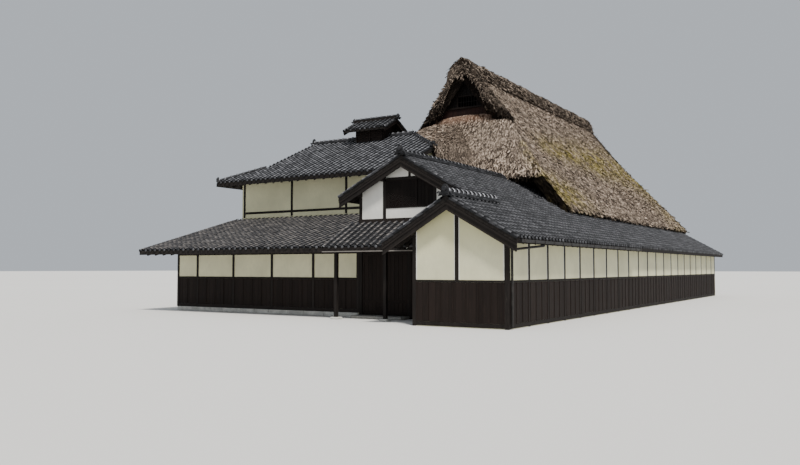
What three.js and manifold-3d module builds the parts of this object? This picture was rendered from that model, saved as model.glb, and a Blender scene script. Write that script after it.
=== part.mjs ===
// Minka farmhouse: a thatched main house with tile-roofed wings, an upper wing and a small gabled bay in front.
// Millimetres. X runs to the right along the fronts, Y away from the viewer, Z up from the ground.
// The sizes are measured from the front right corner of the bay. The finished group is moved so that
// its origin is the middle of its bounding box, at ground level.
import * as THREE from "three";
import { mergeVertices } from "three/addons/utils/BufferGeometryUtils.js";
import Module from "manifold-3d";

const wasm = await Module();
wasm.setup();

// Construction
const GAP = 0.3; // between pieces that touch
const MITRE = 0.5; // shift of one side of a mitre, so that its joint is open by the gap
const WALL = 120;
const POST = 120;
const SETBACK = 15; // plaster behind the faces of the posts
const LET_IN = 50; // depth of a post that is let into a wall
const ROOF = 160; // vertical thickness of a tile roof with its boards
const SKY = 60000; // a height above everything that is cut
const FLOOR = 100; // top of the ground floor
const RAIL = [1290, 1350]; // middle rail of the walls, between boards and plaster
const GROUND_SILL = [20, 140];

// Plan of the walls, outer faces
const PLAN = { left: -15700, right: 0, entrance: 2330, mainFront: 12000, back: 30900 };

// Front bay
const BAY = { left: -3075, apexX: -1776, eaveX: -3967, pitch: 0.586, verge: -305 };
const BAY_RIDGE = { top: 3996, end: 3060 };
const BAY_STUD_X = -1600;

// The long roof slope that falls to the right
const RIGHT = { eaveX: 395, eaveZ: 2521, pitch: 0.569, back: 31300 };
const LEFT_AISLE = { eaveX: -16095, eaveZ: 2521, topX: -12610, topZ: 4310 };

// Upper wing
const UPPER = { apexX: -4771, pitch: 0.5035, eaveX: -7328, verge: 2030, ridgeTop: 5679, ridgeEnd: 10200 };
const UPPER_POSTS = [-6587, -5602, -3632];
const UPPER_SILL = [3220, 3320];
const WINDOW = { bottom: 3750, top: 4670, head: 4760 };
const UPPER_FLOOR = [2980, 3100];
const UPPER_WALL = { left: -6647, right: -1960 };

// Entrance with two sliding leaves
const DOOR = { left: -6527, right: -4677, sillTop: 94, railTop: 100, head: 2240, headTop: 2340 };
const LEAF = { width: 955, bottom: 100.4, top: 2249, thickness: 30, clear: 5 };
const TRACKS = [2352, 2392]; // front faces of the leaves

// Pent roof over the entrance and the lean-to roof beside it
const PENT = { left: -7000, eaveY: 700, eaveZ: 2370, pitch: 0.528, thickness: 110 };
const PENT_POSTS = [-6730, -4770];
const PENT_POST_Y = 1130;
const LEAN_TO_PITCH = 0.28;

// Left wing
const WING = {
  ridgeY: 10200,
  ridgeZ: 7750,
  ridgeTop: 7950,
  pitch: 0.45,
  overhang: 5000,
  gableX: -14900,
  hipX: -9200,
  left: -16530,
  right: -6800,
  frontWall: 6000,
  backWall: 14400,
  innerWall: -6950,
};
const VENT = {
  left: -12000,
  right: -10500,
  half: 550,
  wall: 60,
  ridgeZ: 8600,
  ridgeTop: 8720,
  eave: 1000,
  eaveZ: 8080,
  roofLeft: -12430,
  roofRight: -10100,
  thickness: 100,
};

// Thatched main house
const THATCH = {
  ridgeX: -7681,
  ridgeZ: 11216,
  pitch: 1.215,
  hipPitch: 1.457,
  thickness: 450,
  lipZ: 4096,
  frontLipY: 10256,
  frontLipZ: 5587,
  gableFront: 12208,
  gableBack: 28800,
};
const GABLE = { recess: 290, thickness: 50, base: 7800 };
const LATTICE = { left: -8100, right: -7150, bottom: 9290, top: 9760, bars: 6, width: 30 };
const THATCH_CLEAR = 200; // between the eaves of the thatch and the tiles below
const MAIN = { right: -2750, left: -12610, plate: 3950, plateTop: 4700, wallBottom: 2900 };

const surface = {
  plaster: { color: 0xe9e2cc, roughness: 0.9 },
  white: { color: 0xf1f2f0, roughness: 0.85 },
  timber: { color: 0x2b211b, roughness: 0.8 },
  board: { color: 0x241b16, roughness: 0.85 },
  tile: { color: 0x565a63, roughness: 0.55 },
  thatch: { color: 0x8f7f6a, roughness: 1.0 },
  stone: { color: 0x9b978e, roughness: 0.95 },
  metal: { color: 0x3a3734, roughness: 0.5, metalness: 0.6 },
  floor: { color: 0x7a6a55, roughness: 0.9 },
};

const house = new THREE.Group();

// Solids and booleans

function solidOf(geometry) {
  geometry.deleteAttribute("normal");
  geometry.deleteAttribute("uv");
  const merged = mergeVertices(geometry, 1e-3);
  const vertProperties = new Float32Array(merged.getAttribute("position").array);
  const triVerts = new Uint32Array(merged.index.array);
  return new wasm.Manifold(new wasm.Mesh({ numProp: 3, vertProperties, triVerts }));
}

function geometryOf(solid) {
  const mesh = solid.getMesh();
  const geometry = new THREE.BufferGeometry();
  geometry.setAttribute("position", new THREE.BufferAttribute(new Float32Array(mesh.vertProperties), 3));
  geometry.setIndex(new THREE.BufferAttribute(new Uint32Array(mesh.triVerts), 1));
  const flat = geometry.toNonIndexed();
  flat.computeVertexNormals();
  return flat;
}

const joined = (first, ...others) => others.reduce((whole, part) => whole.add(part), first);
const cut = (first, ...tools) => tools.reduce((whole, tool) => whole.subtract(tool), first);

function add(name, solid, finish) {
  const mesh = new THREE.Mesh(geometryOf(solid), new THREE.MeshStandardMaterial(surface[finish]));
  mesh.name = name;
  house.add(mesh);
}

// Prisms and slabs

const X_AXIS = new THREE.Vector3(1, 0, 0);
const Y_AXIS = new THREE.Vector3(0, 1, 0);
const Z_AXIS = new THREE.Vector3(0, 0, 1);

function extruded(points, depth) {
  const shape = new THREE.Shape(points.map(([a, b]) => new THREE.Vector2(a, b)));
  return new THREE.ExtrudeGeometry(shape, { depth, bevelEnabled: false });
}

// Points are [x, z] and the prism runs from y0 to y1.
function alongY(points, y0, y1) {
  const turn = new THREE.Matrix4().makeBasis(X_AXIS, Z_AXIS, Y_AXIS.clone().negate());
  return solidOf(extruded(points, y1 - y0).applyMatrix4(turn).translate(0, y1, 0));
}

// Points are [y, z] and the prism runs from x0 to x1.
function alongX(points, x0, x1) {
  const turn = new THREE.Matrix4().makeBasis(Y_AXIS, Z_AXIS, X_AXIS);
  return solidOf(extruded(points, x1 - x0).applyMatrix4(turn).translate(x0, 0, 0));
}

function box(x0, x1, y0, y1, z0, z1) {
  const geometry = new THREE.BoxGeometry(x1 - x0, y1 - y0, z1 - z0);
  return solidOf(geometry.translate((x0 + x1) / 2, (y0 + y1) / 2, (z0 + z1) / 2));
}

// A solid over a plan of [x, y] points, between two heights given as functions of x and y.
function between(plan, low, high) {
  const geometry = extruded(plan, 1);
  const position = geometry.getAttribute("position");
  for (let i = 0; i < position.count; i += 1) {
    const height = position.getZ(i) > 0.5 ? high : low;
    position.setZ(i, height(position.getX(i), position.getY(i)));
  }
  return solidOf(geometry);
}

const rectangle = (x0, x1, y0, y1) => [
  [x0, y0],
  [x1, y0],
  [x1, y1],
  [x0, y1],
];
const slab = (plan, top, thickness = ROOF) => between(plan, (x, y) => top(x, y) - thickness, top);
const above = (plan, top, thickness = ROOF) =>
  between(plan, (x, y) => top(x, y) - thickness - GAP, () => SKY);
const below = (plan, top, clear = GAP) => between(plan, () => -SKY, (x, y) => top(x, y) + clear);

// Roof surfaces, as the height of the tile tops or of the thatch

const rightTop = (x) => RIGHT.eaveZ + RIGHT.pitch * (RIGHT.eaveX - x);
const bayApexZ = rightTop(BAY.apexX);
const bayLeftTop = (x) => bayApexZ - BAY.pitch * (BAY.apexX - x);
const upperApexZ = rightTop(UPPER.apexX);
const upperLeftTop = (x) => upperApexZ - UPPER.pitch * (UPPER.apexX - x);
const aislePitch = (LEFT_AISLE.topZ - LEFT_AISLE.eaveZ) / (LEFT_AISLE.topX - LEFT_AISLE.eaveX);
const leftAisleTop = (x) => LEFT_AISLE.eaveZ + aislePitch * (x - LEFT_AISLE.eaveX);
const pentTop = (x, y) => PENT.eaveZ + PENT.pitch * (y - PENT.eaveY);
const leanToTop = (x, y) => PENT.eaveZ + LEAN_TO_PITCH * (y - PENT.eaveY);
const wingFrontTop = (x, y) => WING.ridgeZ - WING.pitch * (WING.ridgeY - y);
const wingBackTop = (x, y) => WING.ridgeZ - WING.pitch * (y - WING.ridgeY);
const wingEaveZ = WING.ridgeZ - WING.pitch * WING.overhang;
const wingEndTop = (x) => wingEaveZ + WING.pitch * (x - WING.left);
const wingHipTop = (x) => WING.ridgeZ - WING.pitch * (x - WING.hipX);
const ventPitch = (VENT.ridgeZ - VENT.eaveZ) / VENT.eave;
const ventTop = (x, y) => VENT.ridgeZ - ventPitch * Math.abs(y - WING.ridgeY);

const sideDepth = THATCH.thickness * Math.hypot(1, THATCH.pitch);
const hipDepth = THATCH.thickness * Math.hypot(1, THATCH.hipPitch);
const thatchRightTop = (x) => THATCH.ridgeZ - THATCH.pitch * (x - THATCH.ridgeX);
const thatchLeftTop = (x) => THATCH.ridgeZ - THATCH.pitch * (THATCH.ridgeX - x);
const thatchFrontTop = (x, y) => THATCH.frontLipZ + THATCH.hipPitch * (y - THATCH.frontLipY);
const gableLowZ = thatchFrontTop(0, THATCH.gableFront);
const thatchBackTop = (x, y) => gableLowZ - THATCH.hipPitch * (y - THATCH.gableBack);
const gableHalf = (THATCH.ridgeZ - gableLowZ) / THATCH.pitch;
const thatchLip = (THATCH.ridgeZ - THATCH.lipZ) / THATCH.pitch;
const backLipY = THATCH.gableBack + (gableLowZ - THATCH.lipZ) / THATCH.hipPitch;

const wide = rectangle(-20000, 4000, -2000, 34000);
const underThatch = [
  above(wide, thatchRightTop, sideDepth),
  above(wide, thatchLeftTop, sideDepth),
  above(wide, thatchFrontTop, hipDepth),
  above(wide, thatchBackTop, hipDepth),
];

// Posts and rails that are let into the outside of a wall

const post = (x0, y0, z0, z1) => box(x0, x0 + POST, y0, y0 + POST, z0, z1);

// Bars are [x0, x1, y0, y1, z0, z1]. With room added they cut their own seats out of a wall.
function framework(bars, room = 0) {
  const grown = bars.map((bar) => box(...bar.map((value, i) => (i % 2 ? value + room : value - room))));
  return joined(...grown);
}

// A panel that stands on posts: the panel is a prism, the posts go down to the floor.
const onPosts = (panel, posts) => joined(panel, ...posts);

function addFloors() {
  const inset = WALL + GAP;
  const plan = [
    [BAY.left + inset, inset],
    [PLAN.right - inset, inset],
    [PLAN.right - inset, PLAN.back - inset],
    [PLAN.left + inset, PLAN.back - inset],
    [PLAN.left + inset, PLAN.entrance + inset],
    [BAY.left + inset, PLAN.entrance + inset],
  ];
  add("ground_floor", between(plan, () => 0, () => FLOOR), "floor");
  const upper = box(
    UPPER_WALL.left + WALL + GAP,
    UPPER_WALL.right,
    PLAN.entrance + WALL + GAP,
    PLAN.mainFront - GAP,
    ...UPPER_FLOOR,
  );
  add("upper_floor", upper, "floor");
}

// Front bay

function addBay() {
  const underLeft = (x) => bayLeftTop(x) - ROOF - GAP;
  const underRight = (x) => rightTop(x) - ROOF - GAP;
  const [wallLeft, wallRight] = [BAY.left + POST + GAP, PLAN.right - POST - GAP];
  const bars = [
    [BAY.left, BAY.left + POST, 0, POST, 0, SKY],
    [PLAN.right - POST, PLAN.right, 0, POST, 0, SKY],
    [BAY_STUD_X - POST / 2, BAY_STUD_X + POST / 2, 0, LET_IN, RAIL[0], SKY],
    [BAY.left, PLAN.right, 0, LET_IN, ...RAIL],
    [BAY.left, PLAN.right, 0, LET_IN, ...GROUND_SILL],
  ];
  const frame = cut(framework(bars), above(wide, bayLeftTop), above(wide, rightTop));
  const outline = [
    [wallLeft, 0],
    [wallRight, 0],
    [wallRight, underRight(wallRight)],
    [BAY.apexX, underRight(BAY.apexX)],
    [wallLeft, underLeft(wallLeft)],
  ];
  add("bay_front_wall", cut(alongY(outline, SETBACK, WALL), framework(bars, GAP)), "plaster");
  add("bay_frame", frame, "timber");

  const side = box(BAY.left + SETBACK, BAY.left + WALL, POST + GAP, PLAN.entrance - GAP, 0, SKY);
  add("bay_left_wall", cut(side, above(wide, bayLeftTop)), "plaster");

  const underMain = above(rectangle(-6000, 395, UPPER.verge, 4000), rightTop);
  const valleyX = BAY.apexX - (bayApexZ - pentTop(0, PLAN.entrance)) / BAY.pitch;
  const valleyY = PENT.eaveY + (bayLeftTop(BAY.eaveX) - PENT.eaveZ) / PENT.pitch;
  const leftPlan = [
    [BAY.eaveX, BAY.verge],
    [BAY.apexX - GAP, BAY.verge],
    [BAY.apexX - GAP, PLAN.entrance - GAP],
    [valleyX + MITRE, PLAN.entrance - GAP],
    [BAY.eaveX + MITRE, valleyY],
    [BAY.eaveX, valleyY - MITRE],
  ];
  add("bay_left_roof", cut(slab(leftPlan, bayLeftTop), underMain), "tile");
  const rightPlan = rectangle(BAY.apexX, RIGHT.eaveX, BAY.verge, UPPER.verge - GAP);
  add("bay_right_roof", slab(rightPlan, rightTop), "tile");

  const ridge = ridgeAlongY(BAY.apexX, bayLeftTop, rightTop, BAY_RIDGE.top, BAY.verge, BAY_RIDGE.end);
  const mainSlope = below(rectangle(-6000, 395, UPPER.verge - GAP, 4000), rightTop);
  add("bay_ridge", cut(ridge, mainSlope), "tile");
  add("bay_bargeboards", bargeboards(BAY, bayLeftTop, RIGHT.eaveX - 20), "timber");

  const pentPlan = [
    [PENT.left, PENT.eaveY],
    [BAY.eaveX - GAP, PENT.eaveY],
    [BAY.eaveX - GAP, valleyY],
    [valleyX, PLAN.entrance - GAP],
    [PENT.left, PLAN.entrance - GAP],
  ];
  add("pent_roof", slab(pentPlan, pentTop, PENT.thickness), "tile");
}

// A tile ridge that rides on two slopes that meet at x.
function ridgeAlongY(x, leftTop, rightSlopeTop, top, y0, y1) {
  const [base, crown] = [150, 90];
  const outline = [
    [x - base, leftTop(x - base) + GAP * 2],
    [x, rightSlopeTop(x) + GAP * 2],
    [x + base, rightSlopeTop(x + base) + GAP * 2],
    [x + crown, top - 60],
    [x, top],
    [x - crown, top - 60],
  ];
  return alongY(outline, y0, y1);
}

// The two boards under the verge of a gable, meeting at its apex.
function bargeboards(gable, leftTop, rightEnd) {
  const [height, thickness, inset] = [230, 40, 15];
  const top = (x) => Math.min(leftTop(x), rightTop(x)) - ROOF - GAP;
  const leftEnd = gable.eaveX + 20;
  const outline = [
    [leftEnd, top(leftEnd)],
    [leftEnd, top(leftEnd) - height],
    [gable.apexX, top(gable.apexX) - height],
    [rightEnd, top(rightEnd) - height],
    [rightEnd, top(rightEnd)],
    [gable.apexX, top(gable.apexX)],
  ];
  return alongY(outline, gable.verge + inset, gable.verge + inset + thickness);
}

// Right side: one long slope over the wings, and the aisle beside the main house

function addRightSide() {
  const wall = box(PLAN.right - WALL, PLAN.right - SETBACK, POST + GAP, PLAN.back - WALL - GAP, 0, SKY);
  const face = [PLAN.right - LET_IN, PLAN.right];
  const bay = 1482;
  const count = Math.floor((PLAN.back - POST) / bay);
  const length = [POST + GAP, PLAN.back - WALL - GAP];
  const bars = [GROUND_SILL, RAIL, [2400, 2520]].map((z) => [...face, ...length, ...z]);
  for (let i = 1; i <= count; i += 1) {
    bars.push([...face, i * bay - POST / 2, i * bay + POST / 2, 0, 2500]);
  }
  add("right_wall", cut(wall, above(wide, rightTop), framework(bars, GAP)), "plaster");
  add("right_wall_frame", framework(bars), "timber");

  const slope = rectangle(UPPER.apexX, RIGHT.eaveX, UPPER.verge, PLAN.mainFront - GAP);
  add("right_slope_roof", slab(slope, rightTop), "tile");
  const aisle = rectangle(MAIN.right + GAP, RIGHT.eaveX, PLAN.mainFront, RIGHT.back);
  add("right_lean_to_roof", slab(aisle, rightTop), "tile");
}

function addGutter() {
  const [inner, outer, bottom, top, metal] = [RIGHT.eaveX + GAP, RIGHT.eaveX + 105, 2390, 2475, 8];
  const profile = [
    [inner, top],
    [inner, bottom],
    [outer, bottom],
    [outer, top],
    [outer - metal, top],
    [outer - metal, bottom + metal],
    [inner + metal, bottom + metal],
    [inner + metal, top],
  ];
  const channel = alongY(profile, BAY.verge + 100, PLAN.mainFront - GAP);
  const radius = 35;
  const route = [
    [445, 1500, bottom + metal / 2],
    [445, 1500, 2330],
    [50, 150, 2200],
    [50, 150, 60],
  ].map((p) => new THREE.Vector3(...p));
  const pieces = route.slice(1).map((end, i) => pipe(route[i], end, radius));
  const elbows = route.slice(1, -1).map((p) => {
    return solidOf(new THREE.SphereGeometry(radius, 10, 6).translate(p.x, p.y, p.z));
  });
  add("gutter", joined(channel, ...pieces, ...elbows), "metal");
}

function pipe(from, to, radius) {
  const along = to.clone().sub(from);
  const geometry = new THREE.CylinderGeometry(radius, radius, along.length(), 10);
  const turn = new THREE.Quaternion().setFromUnitVectors(Y_AXIS, along.clone().normalize());
  geometry.applyQuaternion(turn);
  const middle = from.clone().add(to).multiplyScalar(0.5);
  return solidOf(geometry.translate(middle.x, middle.y, middle.z));
}

// Upper wing

function addUpperWing() {
  const [y0, y1] = [PLAN.entrance, PLAN.entrance + LET_IN];
  const under = (x) => Math.min(upperLeftTop(x), rightTop(x)) - ROOF - GAP;
  const bars = [
    ...UPPER_POSTS.map((x) => [x - POST / 2, x + POST / 2, y0, y1, UPPER_SILL[0], SKY]),
    [-4650, -4560, y0, y1, WINDOW.top, SKY],
    [UPPER_WALL.left, -2700, y0, y1, ...UPPER_SILL],
    [UPPER_POSTS[1], UPPER_POSTS[2], y0, y1, WINDOW.top, WINDOW.head],
    [UPPER_POSTS[1], UPPER_POSTS[2], y0, y1, WINDOW.bottom - 40, WINDOW.bottom],
  ];
  const frame = cut(framework(bars), above(wide, upperLeftTop), above(wide, rightTop));
  const outline = [
    [UPPER_WALL.left, UPPER_SILL[0] + GAP],
    [BAY.left + WALL + GAP, UPPER_SILL[0] + GAP],
    [BAY.left + WALL + GAP, 2700],
    [UPPER_WALL.right, 2700],
    [UPPER_WALL.right, under(UPPER_WALL.right)],
    [UPPER.apexX, under(UPPER.apexX)],
    [UPPER_WALL.left, under(UPPER_WALL.left)],
  ];
  const [left, right] = [UPPER_POSTS[1] + POST / 2, UPPER_POSTS[2] - POST / 2];
  const opening = box(left - GAP, right + GAP, 0, 4000, WINDOW.bottom, WINDOW.top);
  const wall = alongY(outline, PLAN.entrance + SETBACK, PLAN.entrance + WALL);
  add("upper_front_wall", cut(wall, opening, framework(bars, GAP)), "white");
  add("upper_frame", frame, "timber");
  const shutters = [left + GAP, right - GAP, y0 + 5, y0 + 45, WINDOW.bottom + GAP, WINDOW.top - GAP];
  add("upper_shutters", box(...shutters), "board");

  const leftPlan = [
    [UPPER.eaveX, UPPER.verge],
    [UPPER.apexX - GAP, UPPER.verge],
    [UPPER.apexX - GAP, PLAN.mainFront - GAP],
    [WING.innerWall + GAP, PLAN.mainFront - GAP],
    [WING.innerWall + GAP, WING.frontWall - GAP],
    [UPPER.eaveX, WING.frontWall - GAP],
  ];
  add("upper_left_roof", slab(leftPlan, upperLeftTop), "tile");
  const ridge = [upperLeftTop, rightTop, UPPER.ridgeTop, UPPER.verge, UPPER.ridgeEnd];
  add("upper_ridge", ridgeAlongY(UPPER.apexX, ...ridge), "tile");
  const boards = bargeboards(UPPER, upperLeftTop, BAY.apexX - 260);
  const overBay = below(rectangle(BAY.eaveX, BAY.apexX, BAY.verge, PLAN.entrance), bayLeftTop);
  add("upper_bargeboards", cut(boards, overBay), "timber");

  const [x0, x1] = [UPPER_WALL.left, UPPER_WALL.left + WALL];
  const [front, back] = [PLAN.entrance + WALL + GAP, WING.frontWall - GAP];
  const panel = box(x0, x1, front, back, 2600, SKY);
  const legs = [front, back - POST].map((y) => box(x0, x1, y, y + POST, FLOOR + GAP, 2700));
  add("upper_left_wall", cut(onPosts(panel, legs), above(wide, upperLeftTop)), "white");
}

// Entrance

function addEntrance() {
  const [y0, y1] = [PLAN.entrance, PLAN.entrance + WALL];
  const top = UPPER_SILL[0];
  add("door_jamb_left", box(DOOR.left - POST, DOOR.left, y0, y1, 0, top - GAP), "timber");
  add("door_jamb_right", box(DOOR.right, DOOR.right + POST, y0, y1, 0, top - GAP), "timber");
  const [left, right] = [DOOR.left + GAP, DOOR.right - GAP];
  const sill = box(left, right, y0, y1, 0, DOOR.sillTop);
  const rails = TRACKS.map((y) => {
    const middle = y + LEAF.thickness / 2;
    return box(left, right, middle - 5, middle + 5, DOOR.sillTop - 5, DOOR.railTop);
  });
  add("door_sill", joined(sill, ...rails), "timber");
  const groove = box(
    left - 1,
    right + 1,
    TRACKS[0] - LEAF.clear - 5,
    TRACKS[1] + LEAF.thickness + LEAF.clear + 5,
    DOOR.head - 1,
    LEAF.top + LEAF.clear,
  );
  add("door_lintel", cut(box(left, right, y0, y1, DOOR.head, DOOR.headTop), groove), "timber");
  const over = box(left, right, y0 + SETBACK, y1, DOOR.headTop + GAP, top - GAP);
  add("entrance_over_wall", over, "white");
  const leafBox = (x, track) => {
    return box(x, x + LEAF.width, track, track + LEAF.thickness, LEAF.bottom, LEAF.top);
  };
  add("entrance_door_left", leafBox(DOOR.left + LEAF.clear, TRACKS[0]), "board");
  add("entrance_door_right", leafBox(DOOR.right - LEAF.clear - LEAF.width, TRACKS[1]), "board");
  add("door_step", box(DOOR.left - 100, DOOR.right + 100, y0 - 560, y0 - GAP, 0, 90), "stone");

  const side = box(DOOR.right + POST + GAP, BAY.left + WALL, y0 + SETBACK, y1, 0, top - GAP);
  add("entrance_side_wall", side, "board");
}

function addPentAndLeanTo() {
  const y = [PENT_POST_Y - 55, PENT_POST_Y + 55];
  const posts = PENT_POSTS.map((x) => box(x - 55, x + 55, ...y, 0, 2400));
  const beam = box(PENT.left + 60, BAY.eaveX - 60, ...y, 2280, SKY);
  const frame = cut(joined(beam, ...posts), above(wide, pentTop, PENT.thickness));
  add("pent_frame", frame, "timber");

  const plan = [
    [LEFT_AISLE.eaveX, PENT.eaveY],
    [PENT.left - GAP, PENT.eaveY],
    [PENT.left - GAP, PLAN.entrance],
    [UPPER_WALL.left - GAP, PLAN.entrance],
    [UPPER_WALL.left - GAP, WING.frontWall - GAP],
    [LEFT_AISLE.eaveX, WING.frontWall - GAP],
  ];
  add("front_lean_to_roof", slab(plan, leanToTop), "tile");
  const wall = box(
    PLAN.left,
    DOOR.left - POST - GAP,
    PLAN.entrance + SETBACK,
    PLAN.entrance + WALL,
    0,
    SKY,
  );
  add("front_wall", cut(wall, above(wide, leanToTop)), "plaster");
}

// Left wing with its hip and gable roof

function addWingRoof() {
  const [front, back] = [WING.ridgeY - WING.overhang, WING.ridgeY + WING.overhang];
  const run = WING.gableX - WING.left;
  const [lowFront, lowBack] = [front + run, back - run];
  const hipRun = WING.right - WING.hipX;
  const hipEndX = WING.hipX + (PLAN.mainFront - GAP - WING.ridgeY);
  const valley = (y) => THATCH.ridgeX - (THATCH.ridgeZ - wingBackTop(0, y)) / THATCH.pitch;
  const tuck = 300; // how far the tiles run in under the thatch

  const frontPlan = [
    [WING.left + MITRE, front],
    [WING.right, front],
    [WING.right, WING.ridgeY - hipRun - MITRE],
    [WING.hipX - MITRE, WING.ridgeY - GAP],
    [WING.gableX + MITRE, WING.ridgeY - GAP],
    [WING.gableX + MITRE, lowFront],
  ];
  const endPlan = [
    [WING.left, front],
    [WING.gableX, lowFront],
    [WING.gableX + WALL - GAP, lowFront],
    [WING.gableX + WALL - GAP, lowBack],
    [WING.gableX, lowBack],
    [WING.left, back],
  ];
  const hipPlan = [
    [WING.hipX, WING.ridgeY],
    [WING.right, WING.ridgeY - hipRun],
    [WING.right, PLAN.mainFront - GAP],
    [hipEndX, PLAN.mainFront - GAP],
  ];
  const backPlan = [
    [WING.left + MITRE, back],
    [WING.gableX + MITRE, lowBack],
    [WING.gableX + MITRE, WING.ridgeY],
    [WING.hipX - MITRE, WING.ridgeY],
    [hipEndX - MITRE, PLAN.mainFront - GAP],
    [valley(PLAN.mainFront) + tuck, PLAN.mainFront - GAP],
    [valley(back) + tuck, back],
  ];
  add("left_wing_front_roof", slab(frontPlan, wingFrontTop), "tile");
  add("left_wing_back_roof", slab(backPlan, wingBackTop), "tile");
  const overEnd = [
    above(rectangle(WING.gableX, 0, 0, WING.ridgeY), wingFrontTop),
    above(rectangle(WING.gableX, 0, WING.ridgeY, 20000), wingBackTop),
  ];
  add("left_wing_end_roof", cut(slab(endPlan, wingEndTop), ...overEnd), "tile");
  add("left_wing_inner_hip", slab(hipPlan, wingHipTop), "tile");
  const inFront = rectangle(WING.gableX, WING.right + GAP, front, PLAN.mainFront - GAP);
  return joined(
    below(inFront, wingFrontTop).intersect(below(inFront, wingBackTop)).intersect(below(inFront, wingHipTop)),
    below(backPlan, wingBackTop),
  );
}

function wingRidge(clear) {
  const y = WING.ridgeY;
  const [base, crown] = [170 + clear, 100 + clear];
  const low = wingFrontTop(0, y - base) + GAP * 2 - clear;
  const outline = [
    [y - base, low],
    [y, WING.ridgeZ + GAP * 2 - clear],
    [y + base, low],
    [y + crown, WING.ridgeTop - 60 + clear],
    [y, WING.ridgeTop + clear],
    [y - crown, WING.ridgeTop - 60 + clear],
  ];
  return alongX(outline, WING.gableX, WING.hipX);
}

function addWingTop() {
  const ridge = wingRidge(0);
  add("left_wing_ridge", ridge, "tile");
  const [x0, x1] = [WING.gableX + WALL, WING.gableX + WALL + 80];
  const gable = cut(
    box(x0, x1, WING.ridgeY - 4000, WING.ridgeY + 4000, 6150, SKY),
    above(wide, wingFrontTop),
    above(wide, wingBackTop),
  );
  add("left_wing_gable", gable, "board");

  const [y0, y1] = [WING.ridgeY - VENT.half, WING.ridgeY + VENT.half];
  const shell = cut(
    box(VENT.left, VENT.right, y0, y1, 7000, SKY),
    box(VENT.left + VENT.wall, VENT.right - VENT.wall, y0 + VENT.wall, y1 - VENT.wall, 0, SKY + 1),
  );
  const body = cut(
    shell,
    below(rectangle(-20000, 0, 0, WING.ridgeY), wingFrontTop),
    below(rectangle(-20000, 0, WING.ridgeY, 20000), wingBackTop),
    wingRidge(GAP),
    above(rectangle(-20000, 0, 0, WING.ridgeY), ventTop, VENT.thickness),
    above(rectangle(-20000, 0, WING.ridgeY, 20000), ventTop, VENT.thickness),
  );
  add("smoke_vent_body", body, "board");
  const y = WING.ridgeY;
  const [crown, shoulder] = [120, VENT.ridgeTop - 30];
  const roof = [
    [y - VENT.eave, VENT.eaveZ],
    [y - crown, ventTop(0, y - crown)],
    [y - crown, shoulder],
    [y, VENT.ridgeTop],
    [y + crown, shoulder],
    [y + crown, ventTop(0, y + crown)],
    [y + VENT.eave, VENT.eaveZ],
    [y + VENT.eave, VENT.eaveZ - VENT.thickness],
    [y, VENT.ridgeZ - VENT.thickness],
    [y - VENT.eave, VENT.eaveZ - VENT.thickness],
  ];
  add("smoke_vent_roof", alongX(roof, VENT.roofLeft, VENT.roofRight), "tile");
}

function addWingWalls() {
  const overWing = [
    above(wide, wingFrontTop),
    above(wide, wingBackTop),
    above(wide, wingEndTop),
  ];
  const x0 = PLAN.left + WALL + GAP;
  const panel = box(x0, WING.innerWall, WING.frontWall, WING.frontWall + WALL, 3000, SKY);
  const legX = [x0, -12760, -9900, WING.innerWall - POST];
  const legs = legX.map((x) => post(x, WING.frontWall, FLOOR + GAP, 3100));
  add("left_wing_front_wall", cut(onPosts(panel, legs), ...overWing), "plaster");

  const [innerX0, innerX1] = [WING.innerWall - WALL, WING.innerWall];
  const [front, back] = [WING.frontWall + WALL + GAP, PLAN.mainFront - GAP];
  const inner = box(innerX0, innerX1, front, back, 4000, SKY);
  const innerLegs = [front, 9000, back - POST].map((y) => post(innerX0, y, FLOOR + GAP, 4100));
  const innerWall = cut(
    onPosts(inner, innerLegs),
    above(wide, wingFrontTop),
    above(wide, wingHipTop),
  );
  add("left_wing_inner_wall", innerWall, "plaster");

  const [backY0, backY1] = [WING.backWall - WALL, WING.backWall];
  const valleyX = THATCH.ridgeX - (THATCH.ridgeZ - wingBackTop(0, backY1)) / THATCH.pitch;
  const outline = [
    [x0, FLOOR + GAP],
    [MAIN.left - GAP, FLOOR + GAP],
    [MAIN.left - GAP, MAIN.plateTop],
    [valleyX, MAIN.plateTop],
    [valleyX, SKY],
    [x0, SKY],
  ];
  add("left_wing_back_wall", cut(alongY(outline, backY0, backY1), ...overWing), "plaster");

  const left = joined(
    box(PLAN.left, PLAN.left + WALL, PLAN.entrance + WALL + GAP, PLAN.back - WALL - GAP, 0, 2600),
    box(PLAN.left, PLAN.left + WALL, WING.frontWall, WING.backWall, 2500, SKY),
  );
  const leftWall = cut(
    left,
    above(rectangle(-20000, 0, 0, WING.frontWall), leanToTop),
    above(rectangle(-20000, 0, WING.frontWall - 1, WING.backWall + 1), wingEndTop),
    above(rectangle(-20000, 0, WING.frontWall, WING.ridgeY), wingFrontTop),
    above(rectangle(-20000, 0, WING.ridgeY, WING.backWall), wingBackTop),
    above(rectangle(-20000, 0, WING.backWall, 40000), leftAisleTop),
  );
  add("left_wall", leftWall, "plaster");
  const aisle = rectangle(LEFT_AISLE.eaveX, LEFT_AISLE.topX - GAP, WING.backWall + GAP, RIGHT.back);
  add("left_lean_to_roof", slab(aisle, leftAisleTop), "tile");
}

// Thatched main house

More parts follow.
